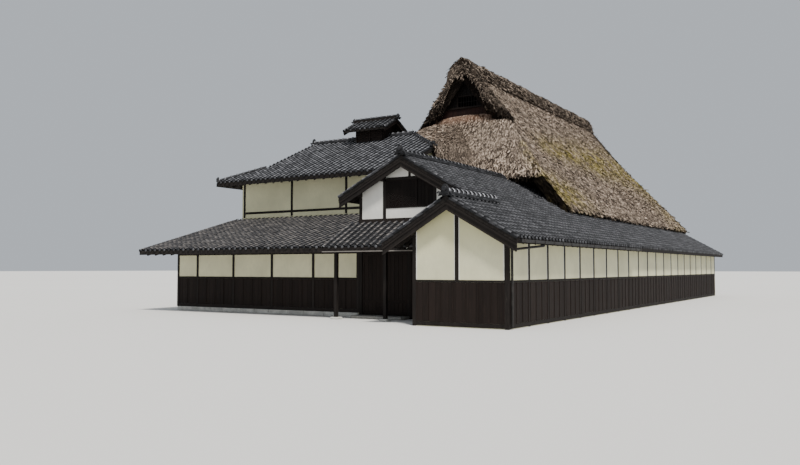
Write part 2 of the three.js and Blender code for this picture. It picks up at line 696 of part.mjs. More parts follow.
function addThatch(wingCover) {
  const { ridgeX, gableFront, gableBack } = THATCH;
  const lipReach = thatchLip + 400; // the plans run past the eaves, the profiles end there
  const run = lipReach - gableHalf;
  const backY = gableBack + (run * THATCH.pitch) / THATCH.hipPitch;
  const cornerHalf = (THATCH.ridgeZ - THATCH.frontLipZ) / THATCH.pitch;
  const sidePlan = (sign) => [
    [ridgeX + sign * GAP, gableFront + MITRE],
    [ridgeX + sign * gableHalf, gableFront + MITRE],
    [ridgeX + sign * (cornerHalf + MITRE), THATCH.frontLipY],
    [ridgeX + sign * lipReach, THATCH.frontLipY],
    [ridgeX + sign * lipReach, backY - MITRE],
    [ridgeX + sign * gableHalf, gableBack - MITRE],
    [ridgeX + sign * GAP, gableBack - MITRE],
  ];
  const frontPlan = [
    [ridgeX - gableHalf + 1, gableFront - MITRE],
    [ridgeX + gableHalf - 1, gableFront - MITRE],
    [ridgeX + cornerHalf - 1, THATCH.frontLipY],
    [ridgeX - cornerHalf + 1, THATCH.frontLipY],
  ];
  const backPlan = [
    [ridgeX - gableHalf + 1, gableBack + MITRE],
    [ridgeX + gableHalf - 1, gableBack + MITRE],
    [ridgeX + lipReach - 1, backY + MITRE],
    [ridgeX - lipReach + 1, backY + MITRE],
  ];
  const prismOver = (plan) => between(plan, () => -SKY, () => SKY);

  // Band from the ridge to an eave that is cut square to the slope, in [distance, height]
  const band = (reach, pitch, lipZ, topZ, depth) => {
    const length = Math.hypot(1, pitch);
    const [inX, inZ] = [(THATCH.thickness * pitch) / length, THATCH.thickness / length];
    return [
      [0, topZ],
      [reach, lipZ],
      [reach - inX, lipZ - inZ],
      [0, topZ - depth],
    ];
  };
  const side = band(thatchLip, THATCH.pitch, THATCH.lipZ, THATCH.ridgeZ, sideDepth);
  const shift = (points, sign, origin) => points.map(([d, z]) => [origin + sign * d, z]);
  const tilesRight = below(rectangle(MAIN.right, 4000, 0, 34000), rightTop, THATCH_CLEAR);
  const tilesLeft = below(rectangle(-20000, MAIN.left, 0, 34000), leftAisleTop, THATCH_CLEAR);
  const right = alongY(shift(side, 1, ridgeX), 9000, 34000).intersect(prismOver(sidePlan(1)));
  const left = alongY(shift(side, -1, ridgeX), 9000, 34000).intersect(prismOver(sidePlan(-1)));
  const besideWall = rectangle(UPPER.apexX, MAIN.right, 0, PLAN.mainFront);
  add("thatch_right_slope", cut(right, tilesRight, below(besideWall, rightTop, GAP * 2)), "thatch");
  add("thatch_left_slope", cut(left, tilesLeft, wingCover), "thatch");

  const frontRun = gableFront - THATCH.frontLipY;
  const frontBand = band(frontRun, THATCH.hipPitch, THATCH.frontLipZ, gableLowZ, hipDepth);
  const frontShell = alongX(shift(frontBand, -1, gableFront), -20000, 4000);
  const overWings = [
    below(rectangle(UPPER.apexX, MAIN.right, 0, PLAN.mainFront), rightTop, GAP * 2),
    below(rectangle(WING.innerWall - WALL, UPPER.apexX, 0, PLAN.mainFront), upperLeftTop, GAP * 2),
  ];
  const frontSlope = cut(frontShell.intersect(prismOver(frontPlan)), wingCover, ...overWings);
  add("thatch_front_slope", frontSlope, "thatch");
  const backRun = backLipY - gableBack;
  const backBand = band(backRun, THATCH.hipPitch, THATCH.lipZ, gableLowZ, hipDepth);
  const backShell = alongX(shift(backBand, 1, gableBack), -20000, 4000);
  const backSlope = cut(backShell.intersect(prismOver(backPlan)), tilesRight, tilesLeft);
  add("thatch_back_slope", backSlope, "thatch");

  const [half, lip, crown, cap] = [800, 100, 250, 254];
  const on = (d) => THATCH.ridgeZ - THATCH.pitch * d + GAP * 2;
  const cover = [
    [-half, on(half)],
    [0, on(0)],
    [half, on(half)],
    [half + lip, on(half) + 155],
    [crown, on(0) + 165],
    [0, on(0) + cap],
    [-crown, on(0) + 165],
    [-half - lip, on(half) + 155],
  ].map(([d, z]) => [ridgeX + d, z]);
  const reach = 100;
  const coverY = [gableFront - reach, gableBack + reach];
  add("thatch_ridge_cover", alongY(cover, ...coverY), "thatch");
}

function addGables() {
  const half = (THATCH.ridgeZ - sideDepth - GAP * 2 - GABLE.base) / THATCH.pitch;
  const triangle = [
    [THATCH.ridgeX - half, GABLE.base],
    [THATCH.ridgeX + half, GABLE.base],
    [THATCH.ridgeX, GABLE.base + half * THATCH.pitch],
  ];
  const lattice = LATTICE;
  const y0 = THATCH.gableFront + GABLE.recess;
  const y1 = y0 + GABLE.thickness;
  const window = box(lattice.left, lattice.right, 0, 20000, lattice.bottom, lattice.top);
  const bars = [];
  const step = (lattice.right - lattice.left) / (lattice.bars + 1);
  for (let i = 1; i <= lattice.bars; i += 1) {
    const x = lattice.left + i * step;
    const z = [lattice.bottom - 5, lattice.top + 5];
    bars.push(box(x - lattice.width / 2, x + lattice.width / 2, y0 + 10, y1 - 10, ...z));
  }
  const middle = (lattice.bottom + lattice.top) / 2;
  const x = [lattice.left - 5, lattice.right + 5];
  bars.push(box(...x, y0 + 12, y1 - 12, middle - 15, middle + 15));
  const front = joined(cut(alongY(triangle, y0, y1), window), ...bars);
  add("front_gable_boards", front, "board");
  const back = THATCH.gableBack - GABLE.recess;
  add("back_gable_boards", alongY(triangle, back - GABLE.thickness, back), "board");
}

function addMainWalls() {
  const y = [PLAN.mainFront, PLAN.mainFront + WALL];
  const panel = box(MAIN.left, MAIN.right, ...y, MAIN.wallBottom, SKY);
  const legX = [MAIN.left, -9700, -7300, -5000, MAIN.right - POST];
  const legs = legX.map((x) => post(x, PLAN.mainFront, FLOOR + GAP, MAIN.wallBottom + 100));
  add("main_front_wall", cut(onPosts(panel, legs), ...underThatch), "board");

  const [y0, y1] = [PLAN.mainFront + WALL + GAP, PLAN.back - WALL - GAP];
  const bays = 6;
  const step = (y1 - y0 - POST) / bays;
  for (const [name, x] of [["main_right_frame", MAIN.right - WALL], ["main_left_frame", MAIN.left]]) {
    const plate = box(x, x + WALL, y0, y1, MAIN.plate, SKY);
    const posts = [];
    for (let i = 0; i <= bays; i += 1) {
      posts.push(post(x, y0 + i * step, FLOOR + GAP, MAIN.plate + 50));
    }
    add(name, cut(onPosts(plate, posts), ...underThatch), "timber");
  }

  const back = box(PLAN.left, PLAN.right, PLAN.back - WALL, PLAN.back - SETBACK, 0, SKY);
  const overBack = [
    above(rectangle(MAIN.right, 4000, 20000, 34000), rightTop),
    above(rectangle(-20000, MAIN.left, 20000, 34000), leftAisleTop),
  ];
  add("back_wall", cut(back, ...underThatch, ...overBack), "plaster");
}

addFloors();
addBay();
addRightSide();
addGutter();
addUpperWing();
addEntrance();
addPentAndLeanTo();
const wingCover = addWingRoof();
addWingTop();
addWingWalls();
addThatch(wingCover);
addGables();
addMainWalls();

const bounds = new THREE.Box3().setFromObject(house);
const middle = bounds.getCenter(new THREE.Vector3());
house.position.set(-middle.x, -middle.y, 0);
const farmhouse = new THREE.Group();
farmhouse.add(house);

export default farmhouse;
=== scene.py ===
"""Minka farmhouse: thatch, tiles, plaster, boards and doors over the solids of the house."""
import math

import bmesh
import bpy
import numpy as np
from bpy.props import FloatProperty, FloatVectorProperty, IntProperty, PointerProperty
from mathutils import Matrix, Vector, noise


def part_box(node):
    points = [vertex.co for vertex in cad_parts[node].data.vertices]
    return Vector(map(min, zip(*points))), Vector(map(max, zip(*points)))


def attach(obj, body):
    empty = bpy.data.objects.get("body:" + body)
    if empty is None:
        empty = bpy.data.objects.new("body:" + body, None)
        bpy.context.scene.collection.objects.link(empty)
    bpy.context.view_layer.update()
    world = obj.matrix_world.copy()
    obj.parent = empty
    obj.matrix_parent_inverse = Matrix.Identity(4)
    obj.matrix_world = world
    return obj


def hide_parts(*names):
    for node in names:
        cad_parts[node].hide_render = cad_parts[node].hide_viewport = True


bl_info = {
    "name": "Minka Farmhouse",
    "version": (1, 0, 0),
    "blender": (4, 5, 0),
    "location": "View3D > Sidebar > Farmhouse",
    "description": "Builds the roofs, walls and doors of a thatched farmhouse",
    "category": "Add Mesh",
}

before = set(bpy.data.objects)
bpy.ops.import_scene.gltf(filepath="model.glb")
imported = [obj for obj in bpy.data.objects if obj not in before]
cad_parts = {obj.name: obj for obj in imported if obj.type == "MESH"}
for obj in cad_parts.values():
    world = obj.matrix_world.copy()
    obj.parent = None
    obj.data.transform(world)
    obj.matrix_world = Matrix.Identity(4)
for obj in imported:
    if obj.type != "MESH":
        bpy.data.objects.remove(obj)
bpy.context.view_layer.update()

# The sizes below are in metres from the front right corner of the bay at ground level.
CORNER = np.array([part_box("bay_frame")[1].x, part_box("bay_frame")[0].y, 0.0])
HOUSE = "house"
UP = np.array([0.0, 0.0, 1.0])

# Thatched roof: its ridge, the pitches of its slopes, its gables and its lower edges
RIDGE_X = -7.681
RIDGE_Z = 11.216
SIDE_PITCH = 1.215
HIP_PITCH = 1.457
GABLE_Y = (12.208, 28.8)
GABLE_HALF = 2.292
GABLE_Z = 8.431
FRONT_LIP = (10.256, 5.587)
SIDE_REACH = 5.86
BACK_LIP_Y = 31.775
THATCH_THICKNESS = 0.45

# Tiled roofs: the x and height of two ridges, the y and height of the third, and where eaves and verges are
BAY_X, BAY_Z = -1.776, 3.7563
UPPER_X, UPPER_Z = -4.771, 5.4605
WING_Y, WING_Z = 10.2, 7.75
WING_PITCH = 0.45
WING_FRONT, WING_BACK = 5.2, 15.2
WING_END, WING_VERGE = -16.53, -14.9
RIGHT_EAVE, BAY_EAVE, UPPER_EAVE = 0.395, -3.967, -7.328
FRONT_EAVE, LEFT_EAVE = 0.7, -16.095
BAY_VERGE, UPPER_VERGE, BACK_VERGE = -0.305, 2.03, 31.3
VENT_ENDS = (-12.43, -10.1)
LEAN_TO_TOP, AISLE_TOP, UPPER_TOP = -2.75, -12.61, -6.95
THATCH_FOOT = 12.0

# Walls: the spacing of their posts, their boards from foot to top, and half a post with the joint beside it
KEN = 1.97
SIDE_BAY = 1.482
BOARD_FOOT, BOARD_TOP = 0.142, 1.288
HALF_POST = 0.057


# Settings

class TileSettings(bpy.types.PropertyGroup):
    """Sizes and colours of the roof tiles"""

    width: FloatProperty(
        name="Tile width", description="Exposed width of one tile", default=0.265, unit="LENGTH")
    course: FloatProperty(
        name="Course", description="Exposed length of one tile", default=0.235, unit="LENGTH")
    roll: FloatProperty(name="Roll", description="Height of the roll of a tile", default=0.056, unit="LENGTH")
    colour: FloatVectorProperty(
        name="Tile colour", description="Smoked clay", subtype="COLOR", size=3,
        default=(0.0165, 0.017, 0.0192))
    # The worn colour is also the painted highlight on the rolls, lips and crests of the tiles.
    pale: FloatVectorProperty(
        name="Worn colour", description="Worn clay", subtype="COLOR", size=3, default=(0.285, 0.287, 0.31))


class ThatchSettings(bpy.types.PropertyGroup):
    """Sizes and colours of the thatch"""

    reeds: IntProperty(name="Reeds", description="Reed bundles in a square metre of a slope", default=365)
    length: FloatProperty(
        name="Reed length", description="Mean length that shows", default=0.19, unit="LENGTH")
    width: FloatProperty(
        name="Reed width", description="Mean width of a bundle", default=0.042, unit="LENGTH")
    light: FloatVectorProperty(
        name="Dry reed", description="Colour of the light reeds", subtype="COLOR", size=3,
        default=(0.6, 0.485, 0.39))
    # This colour is also the painted shade between the bundles, on cut ends and under the thatch.
    dark: FloatVectorProperty(
        name="Old reed", description="Colour between the reeds", subtype="COLOR", size=3,
        default=(0.038, 0.027, 0.02))
    moss: FloatVectorProperty(
        name="Moss", description="Colour of the moss", default=(0.3, 0.25, 0.03), subtype="COLOR", size=3)


class WallSettings(bpy.types.PropertyGroup):
    """Sizes and colours of the walls and the woodwork"""

    board: FloatProperty(name="Board width", description="Width of a wall board", default=0.21, unit="LENGTH")
    clay: FloatVectorProperty(
        name="Clay plaster", description="Cream plaster", default=(0.7, 0.68, 0.47), subtype="COLOR", size=3)
    lime: FloatVectorProperty(
        name="Lime plaster", description="White plaster", default=(0.8, 0.79, 0.74), subtype="COLOR", size=3)
    timber: FloatVectorProperty(
        name="Timber", description="Posts and beams", subtype="COLOR", size=3,
        default=(0.0115, 0.0095, 0.0085))
    planks: FloatVectorProperty(
        name="Boards", description="Stained boards", subtype="COLOR", size=3,
        default=(0.0092, 0.0064, 0.0054))


class StageSettings(bpy.types.PropertyGroup):
    """Camera, lights and floor"""

    lens: FloatProperty(name="Lens", description="Focal length", default=34.28, unit="CAMERA")
    sun: FloatProperty(name="Sun", description="Strength of the main light", default=4.6)
    sky: FloatProperty(name="Sky", description="Strength of the light from all around", default=0.6)
    floor: FloatVectorProperty(
        name="Floor", description="Colour of the floor", default=(0.74, 0.73, 0.71), subtype="COLOR", size=3)


def settings(name):
    return getattr(bpy.context.scene, "farmhouse_" + name)


# Meshes

def chamfer_plan():
    """The corners and faces of a box with chamfered edges, as signs, own axes, quads and triangles."""
    corners = [(i, j, k) for i in (-1, 1) for j in (-1, 1) for k in (-1, 1)]
    index = {(c, axis): 3 * n + axis for n, c in enumerate(corners) for axis in range(3)}
    signs = np.array([c for c in corners for _ in range(3)], float)
    own = np.array([[axis == a for a in range(3)] for _ in corners for axis in range(3)], float)
    trial = signs * (1 - 0.2 * (1 - own))

    def outward(face):
        a, b, c = (trial[i] for i in face[:3])
        middle = sum(trial[i] for i in face)
        return face if np.dot(np.cross(b - a, c - a), middle) > 0 else face[::-1]

    quads = []
    for axis in range(3):
        first, second = (a for a in range(3) if a != axis)

        def point(side, p, q, own_axis):
            corner = [0, 0, 0]
            corner[axis], corner[first], corner[second] = side, p, q
            return index[tuple(corner), own_axis]

        for side in (-1, 1):
            quads.append(outward([point(side, p, q, axis) for p, q in ((-1, -1), (1, -1), (1, 1), (-1, 1))]))
        for p in (-1, 1):
            for q in (-1, 1):
                quads.append(outward([point(-1, p, q, first), point(1, p, q, first),
                                      point(1, p, q, second), point(-1, p, q, second)]))
    triangles = [outward([index[c, 0], index[c, 1], index[c, 2]]) for c in corners]
    return signs, own, np.array(quads), np.array(triangles)


BOX_SIGNS, BOX_OWN, BOX_QUADS, BOX_TRIANGLES = chamfer_plan()


def unit(vector):
    vector = np.array(vector, float)
    return vector / np.linalg.norm(vector)


def circle(angles, across, up):
    """Points around a circle of radius one, at angles from its first axis towards its second."""
    return np.cos(angles)[:, None] * across + np.sin(angles)[:, None] * up


def with_area(points, faces):
    """The faces that have an area."""
    if not len(faces):
        return faces
    first = points[faces[:, 2]] - points[faces[:, 0]]
    second = points[faces[:, -1]] - points[faces[:, 1]]
    return faces[np.linalg.norm(np.cross(first, second), axis=1) > 4e-9]


class Stock:
    """Points and faces gathered for one piece, with a tone and a place along the grain for each point."""

    def __init__(self, seed=1):
        self.points, self.quads, self.triangles, self.tones, self.grain = [], [], [], [], []
        self.count = 0
        self.chance = np.random.default_rng(seed)

    def add(self, points, quads=(), triangles=(), tone=None, grain=None):
        points = np.asarray(points, float).reshape(-1, 3)
        if tone is None:
            tone = self.chance.random()
        self.points.append(points)
        self.tones.append(np.broadcast_to(np.asarray(tone, float), (len(points),)))
        self.grain.append(points if grain is None else grain)
        if len(quads):
            self.quads.append(np.asarray(quads, int).reshape(-1, 4) + self.count)
        if len(triangles):
            self.triangles.append(np.asarray(triangles, int).reshape(-1, 3) + self.count)
        self.count += len(points)

    def block(self, middle, axes, sizes, chamfer=0.004, tone=None):
        """A chamfered bar: its middle, three unit axes and its sizes along them. The first is its grain."""
        half = np.asarray(sizes, float) / 2
        local = BOX_SIGNS * (half - min(chamfer, half.min() * 0.45) * (1 - BOX_OWN))
        points = np.asarray(middle, float) + local @ np.asarray(axes, float)
        self.add(points, BOX_QUADS, BOX_TRIANGLES, tone, local + self.chance.random(3) * 30)

    def bar(self, low, high, along=2, chamfer=0.004, tone=None):
        """A chamfered bar between two corners, with its grain along the axis of that number."""
        low, high = np.asarray(low, float), np.asarray(high, float)
        order = [along, (along + 1) % 3, (along + 2) % 3]
        self.block((low + high) / 2, np.eye(3)[order], np.abs(high - low)[order], chamfer, tone)

    def beam(self, start, end, width, height, up=(0, 0, 1), chamfer=0.004, tone=None):
        """A chamfered bar from start to end, its width level and its height along up."""
        start, end, up = (np.asarray(v, float) for v in (start, end, up))
        length = np.linalg.norm(end - start)
        run = (end - start) / length
        side = unit(np.cross(up, run))
        axes = [run, side, np.cross(run, side)]
        self.block((start + end) / 2, axes, [length, width, height], chamfer, tone)

    def loft(self, rings, closed=True, tone=None, ends=False):
        """Quads between rings of the same number of points."""
        rings = np.asarray(rings, float)
        rows, columns = rings.shape[:2]
        count = columns if closed else columns - 1
        i, j = np.meshgrid(np.arange(rows - 1), np.arange(count), indexing="ij")
        k = (j + 1) % columns
        quads = np.stack([i * columns + j, (i + 1) * columns + j, (i + 1) * columns + k, i * columns + k], -1)
        points = rings.reshape(-1, 3)
        triangles = []
        if ends:
            points = np.vstack([points, rings[0].mean(0), rings[-1].mean(0)])
            first, last, base = len(points) - 2, len(points) - 1, (rows - 1) * columns
            for j in range(columns):
                k = (j + 1) % columns
                triangles += [[first, j, k], [last, base + k, base + j]]
        self.add(points, quads.reshape(-1, 4), triangles, tone)

    def tube(self, route, radius, sides=10, tone=None, ends=True):
        """A round bar along a route, with one radius or a radius for each point."""
        route = np.asarray(route, float)
        radii = np.broadcast_to(radius, (len(route),))
        forward = np.gradient(route, axis=0)
        rings = []
        angles = np.linspace(0, 2 * math.pi, sides, endpoint=False)
        side = None
        for point, run, r in zip(route, forward, radii):
            run = run / np.linalg.norm(run)
            if side is None:
                spare = np.array([0.0, 0, 1]) if abs(run[2]) < 0.9 else np.array([1.0, 0, 0])
                side = np.cross(run, spare)
            side = side - run * (side @ run)
            if np.linalg.norm(side) < 0.3:
                side = np.cross(other, run)
            side /= np.linalg.norm(side)
            other = np.cross(run, side)
            rings.append(point + r * circle(angles, side, other))
        self.loft(np.array(rings)[:, ::-1], True, tone, ends)

    def piece(self, name, look, slot, body=HOUSE, smooth=False, replaces=()):
        points = np.vstack(self.points) + CORNER
        quads = with_area(points, np.vstack(self.quads) if self.quads else np.zeros((0, 4), int))
        triangles = with_area(points, np.vstack(self.triangles) if self.triangles else np.zeros((0, 3), int))
        mesh = bpy.data.meshes.new(name)
        mesh.vertices.add(len(points))
        mesh.vertices.foreach_set("co", points.ravel())
        mesh.loops.add(quads.size + triangles.size)
        mesh.loops.foreach_set("vertex_index", np.concatenate([quads.ravel(), triangles.ravel()]))
        mesh.polygons.add(len(quads) + len(triangles))
        starts = np.concatenate([np.arange(len(quads)) * 4, quads.size + np.arange(len(triangles)) * 3])
        mesh.polygons.foreach_set("loop_start", starts)
        mesh.polygons.foreach_set("use_smooth", np.full(len(starts), smooth))
        mesh.update(calc_edges=True)
        mesh.validate()
        mesh.attributes.new("tone", "FLOAT", "POINT").data.foreach_set("value", np.concatenate(self.tones))
        grain = mesh.attributes.new("grain", "FLOAT_VECTOR", "POINT")
        grain.data.foreach_set("vector", np.vstack(self.grain).ravel())
        made = bpy.data.objects.new(name, mesh)
        bpy.context.scene.collection.objects.link(made)
        mesh.materials.append(finish(look))
        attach(made, body)
        if replaces:
            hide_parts(*replaces)
        return made


# Finishes

class Finish:
    """A node material, put together from a few kinds of node."""

    def __init__(self, name, roughness=0.8, gloss=0.5):
        self.material = bpy.data.materials.new(name)
        self.material.use_nodes = True
        self.nodes = self.material.node_tree.nodes
        self.links = self.material.node_tree.links
        self.shader = self.nodes["Principled BSDF"]
        self.shader.inputs["Roughness"].default_value = roughness
        self.shader.inputs["Specular IOR Level"].default_value = gloss

    def put(self, kind, inputs=(), **options):
        """A new node. An input is a value, or the socket that it is joined to."""
        made = self.nodes.new(kind)
        for key, value in options.items():
            setattr(made, key, value)
        for key, value in dict(inputs).items():
            if isinstance(value, bpy.types.NodeSocket):
                self.links.new(value, made.inputs[key])
            else:
                made.inputs[key].default_value = value
        return made

    def attribute(self, name, output="Fac"):
        return self.put("ShaderNodeAttribute", attribute_name=name).outputs[output]

    def place(self, stretch=(1, 1, 1), grain=False):
        if grain:
            source = self.attribute("grain", "Vector")
        else:
            source = self.put("ShaderNodeTexCoord").outputs["Object"]
        return self.put("ShaderNodeMapping", {"Vector": source, "Scale": stretch}).outputs["Vector"]

    def part(self, vector, axis):
        return self.put("ShaderNodeSeparateXYZ", {0: vector}).outputs[axis]

    def noise(self, vector, scale, detail=4.0, roughness=0.55):
        inputs = {"Vector": vector, "Scale": scale, "Detail": detail, "Roughness": roughness}
        return self.put("ShaderNodeTexNoise", inputs).outputs["Fac"]

    def cells(self, vector, scale):
        return self.put("ShaderNodeTexVoronoi", {"Vector": vector, "Scale": scale}).outputs["Distance"]

    def fade(self, value, start, end, low=0.0, high=1.0):
        """A value brought from the range start to end into the range low to high."""
        inputs = {"Value": value, "From Min": start, "From Max": end, "To Min": low, "To Max": high}
        return self.put("ShaderNodeMapRange", inputs).outputs["Result"]

    def times(self, first, second):
        return self.put("ShaderNodeMath", {0: first, 1: second}, operation="MULTIPLY").outputs[0]

    def blend(self, factor, first, second):
        inputs = {0: factor}
        for socket, value in ((6, first), (7, second)):
            inputs[socket] = value if isinstance(value, bpy.types.NodeSocket) else (*value, 1.0)
        return self.put("ShaderNodeMix", inputs, data_type="RGBA").outputs[2]

    def paint(self, colour, roughness=None, height=None, depth=0.002):
        """The finished material, with its colour, roughness and a relief of that depth."""
        self.links.new(colour, self.shader.inputs["Base Color"])
        if roughness is not None:
            self.links.new(roughness, self.shader.inputs["Roughness"])
        if height is not None:
            bump = self.put("ShaderNodeBump", {"Height": height, "Strength": 0.6, "Distance": depth})
            self.links.new(bump.outputs["Normal"], self.shader.inputs["Normal"])
        return self.material


def shade(colour, factor):
    """A colour made darker or lighter."""
    return tuple(min(1.0, c * factor) for c in colour)


def plaster_finish(name, colour, high=None):
    """Trowelled plaster, stained near its foot. high colours a warmer band of painted shade under the eave.
    """
    look = Finish(name, 0.9, 0.2)
    place = look.place()
    clouds = look.noise(place, 0.9, 5)
    trowel = look.noise(look.place((1, 1, 0.4)), 14, 6)
    clouded = look.blend(look.fade(clouds, 0.35, 0.7), shade(colour, 0.86), shade(colour, 1.06))
    plaster = look.blend(look.fade(trowel, 0.45, 0.75, 0, 0.35), clouded, shade(colour, 0.8))
    level = look.part(place, 2)
    if high:
        # The band under the eave is painted shade with a painted olive reflection.
        painted_eave_shade = look.times(look.fade(level, 1.9, 3.3, 0, 0.6), look.fade(level, 3.6, 4.0, 1, 0.2))
        plaster = look.blend(painted_eave_shade, plaster, high)
    streaks = look.noise(look.place((3, 3, 0.18)), 2.4, 4)
    low = look.fade(level, 0.2, 1.9, 0.55, 0.0)
    stain = look.times(look.fade(streaks, 0.5, 0.72), low)
    stained = look.blend(stain, plaster, shade(colour, 0.52))
    return look.paint(stained, look.fade(trowel, 0.3, 0.8, 0.82, 0.95), trowel, 0.004)


def wood_finish(name, colour, grain=True, stretch=(0.6, 9, 9), worn=2.3):
    """Stained wood. Its fibres run along each bar, or without grain along the axis of the least stretch."""
    look = Finish(name, 0.7, 0.12)
    place = look.place(stretch, grain)
    fibres = look.noise(place, 3.2, 7, 0.62)
    broad = look.noise(look.place((0.25, 2, 2) if grain else (1, 1, 0.3), grain), 2.0, 3)
    fibre_tone = look.blend(look.fade(fibres, 0.32, 0.7), shade(colour, 0.55), shade(colour, worn))
    wood = look.blend(look.fade(broad, 0.35, 0.7, 0, 0.7), fibre_tone, shade(colour, 1.1))
    if grain:
        tone = look.fade(look.attribute("tone"), 0, 1, 0.0, 0.5)
        wood = look.blend(tone, wood, shade(colour, worn * 1.1))
    return look.paint(wood, look.fade(fibres, 0.3, 0.75, 0.55, 0.85), fibres, 0.003)


def tile_finish(name, colour, pale, share=0.55):
    """Smoked clay, painted shade in the troughs, painted highlight on the rolls, worn mottling and spots of
    lichen.
    """
    look = Finish(name, 0.55, 0.16)
    place = look.place()
    tone = look.attribute("tone")
    mottle = look.noise(place, 9, 6)
    bloom = look.noise(place, 1.3, 5)
    # Painted shade darkens the troughs, and a painted highlight lightens the rolls and, more strongly, their
    # crests.
    troughs = look.blend(look.fade(tone, -0.25, 0.1), shade(colour, 0.25), colour)
    rolls = look.blend(look.fade(tone, 0.1, 1, 0, share), troughs, pale)
    crests = look.blend(look.fade(tone, 0.7, 1, 0, 0.5), rolls, shade(pale, 1.7))
    # The worn mottling is held back in the troughs so that their painted shade stays dark.
    worn = look.times(look.fade(mottle, 0.48, 0.8, 0, 0.5), look.fade(tone, 0, 0.7, 0.08, 1))
    mottled = look.blend(worn, crests, pale)
    bloomed = look.blend(look.fade(bloom, 0.5, 0.75, 0, 0.4), mottled, shade(colour, 0.6))
    lichen = look.fade(look.cells(place, 5.5), 0.0, 0.11, 0.5, 0.0)
    spots = look.times(lichen, look.fade(mottle, 0.5, 0.6))
    spotted = look.blend(spots, bloomed, (0.34, 0.35, 0.31))
    return look.paint(spotted, look.fade(mottle, 0.3, 0.8, 0.45, 0.75), mottle, 0.003)


def reed_finish(name, light, dark, moss=None):
    """Dry reed with painted shade between bundles and on cut ends, with moss and red-brown where its points
    say so.
    """
    look = Finish(name, 0.92, 0.08)
    tone = look.attribute("tone")
    place = look.place()
    drift = look.noise(place, 0.55, 5)
    fibres = look.noise(place, 38, 3)
    clumps = look.noise(look.place((1, 1, 0.5)), 12, 3)
    reeds = look.blend(look.fade(clumps, 0.5, 0.36, 0, 0.7), light, shade(light, 1.5))
    reeds = look.blend(look.fade(clumps, 0.52, 0.66, 0, 0.85), reeds, shade(dark, 1.5))
    # The dark colour between the bundles is the painted shade of the gaps between the reeds.
    bundles = look.blend(look.fade(tone, 0.1, 0.86), dark, reeds)
    drifted = look.blend(look.fade(drift, 0.4, 0.66, 0, 0.6), bundles, shade(light, 0.42))
    thatch = look.blend(look.fade(fibres, 0.4, 0.7, 0, 0.4), drifted, shade(dark, 1.2))
    if moss:
        green = look.times(look.attribute("moss"), look.fade(fibres, 0.3, 0.62, 0.35, 1.0))
        patch = look.times(look.fade(look.noise(place, 2.1, 5), 0.34, 0.56),
                           look.fade(look.noise(place, 0.5, 3), 0.3, 0.6, 0.45, 1.0))
        mossed = look.blend(look.fade(tone, 0, 1), shade(moss, 0.4), shade(moss, 1.35))
        thatch = look.blend(look.times(green, patch), thatch, mossed)
        red = look.attribute("red")
        thatch = look.blend(look.times(red, 0.6), thatch, (0.22, 0.1, 0.055))
    # Painted shade: cut ends, sides and undersides, whose tone is below zero, go near black.
    painted_shade = look.fade(tone, -0.8, 0.05, 0.96, 0.0)
    return look.paint(look.blend(painted_shade, thatch, shade(dark, 0.12)), None, fibres, 0.01)


def stone_finish(name, colour):
    """Rough granite with darker grains."""
    look = Finish(name, 0.88)
    place = look.place()
    grains = look.noise(place, 60, 3)
    patches = look.noise(place, 4, 5)
    patched = look.blend(look.fade(patches, 0.35, 0.7), shade(colour, 0.7), shade(colour, 1.2))
    grained = look.blend(look.fade(grains, 0.4, 0.65, 0, 0.6), patched, shade(colour, 0.45))
    return look.paint(grained, look.fade(patches, 0.3, 0.7, 0.75, 0.95), grains, 0.003)


def metal_finish(name, colour):
    """Dull sheet metal, lighter where its coat has worn."""
    look = Finish(name, 0.6, 0.25)
    wear = look.noise(look.place(), 7, 6)
    worn = look.blend(look.fade(wear, 0.5, 0.8), colour, shade(colour, 2.6))
    return look.paint(worn, look.fade(wear, 0.3, 0.7, 0.38, 0.65), wear, 0.001)


def deck_finish(name, tile, timber):
    """Clay bedding on top of a roof slab and boards under it, told apart by which way a face looks."""
    look = Finish(name, 0.75, 0.15)
    up = look.part(look.put("ShaderNodeNewGeometry").outputs["Normal"], 2)
    planks = look.noise(look.place((6, 6, 6)), 2.5, 6)
    boards = look.blend(look.fade(planks, 0.35, 0.7), shade(timber, 0.6), shade(timber, 2.0))
    return look.paint(look.blend(look.fade(up, 0.2, 0.4), boards, shade(tile, 0.55)), None, planks, 0.003)


FINISHES = {}


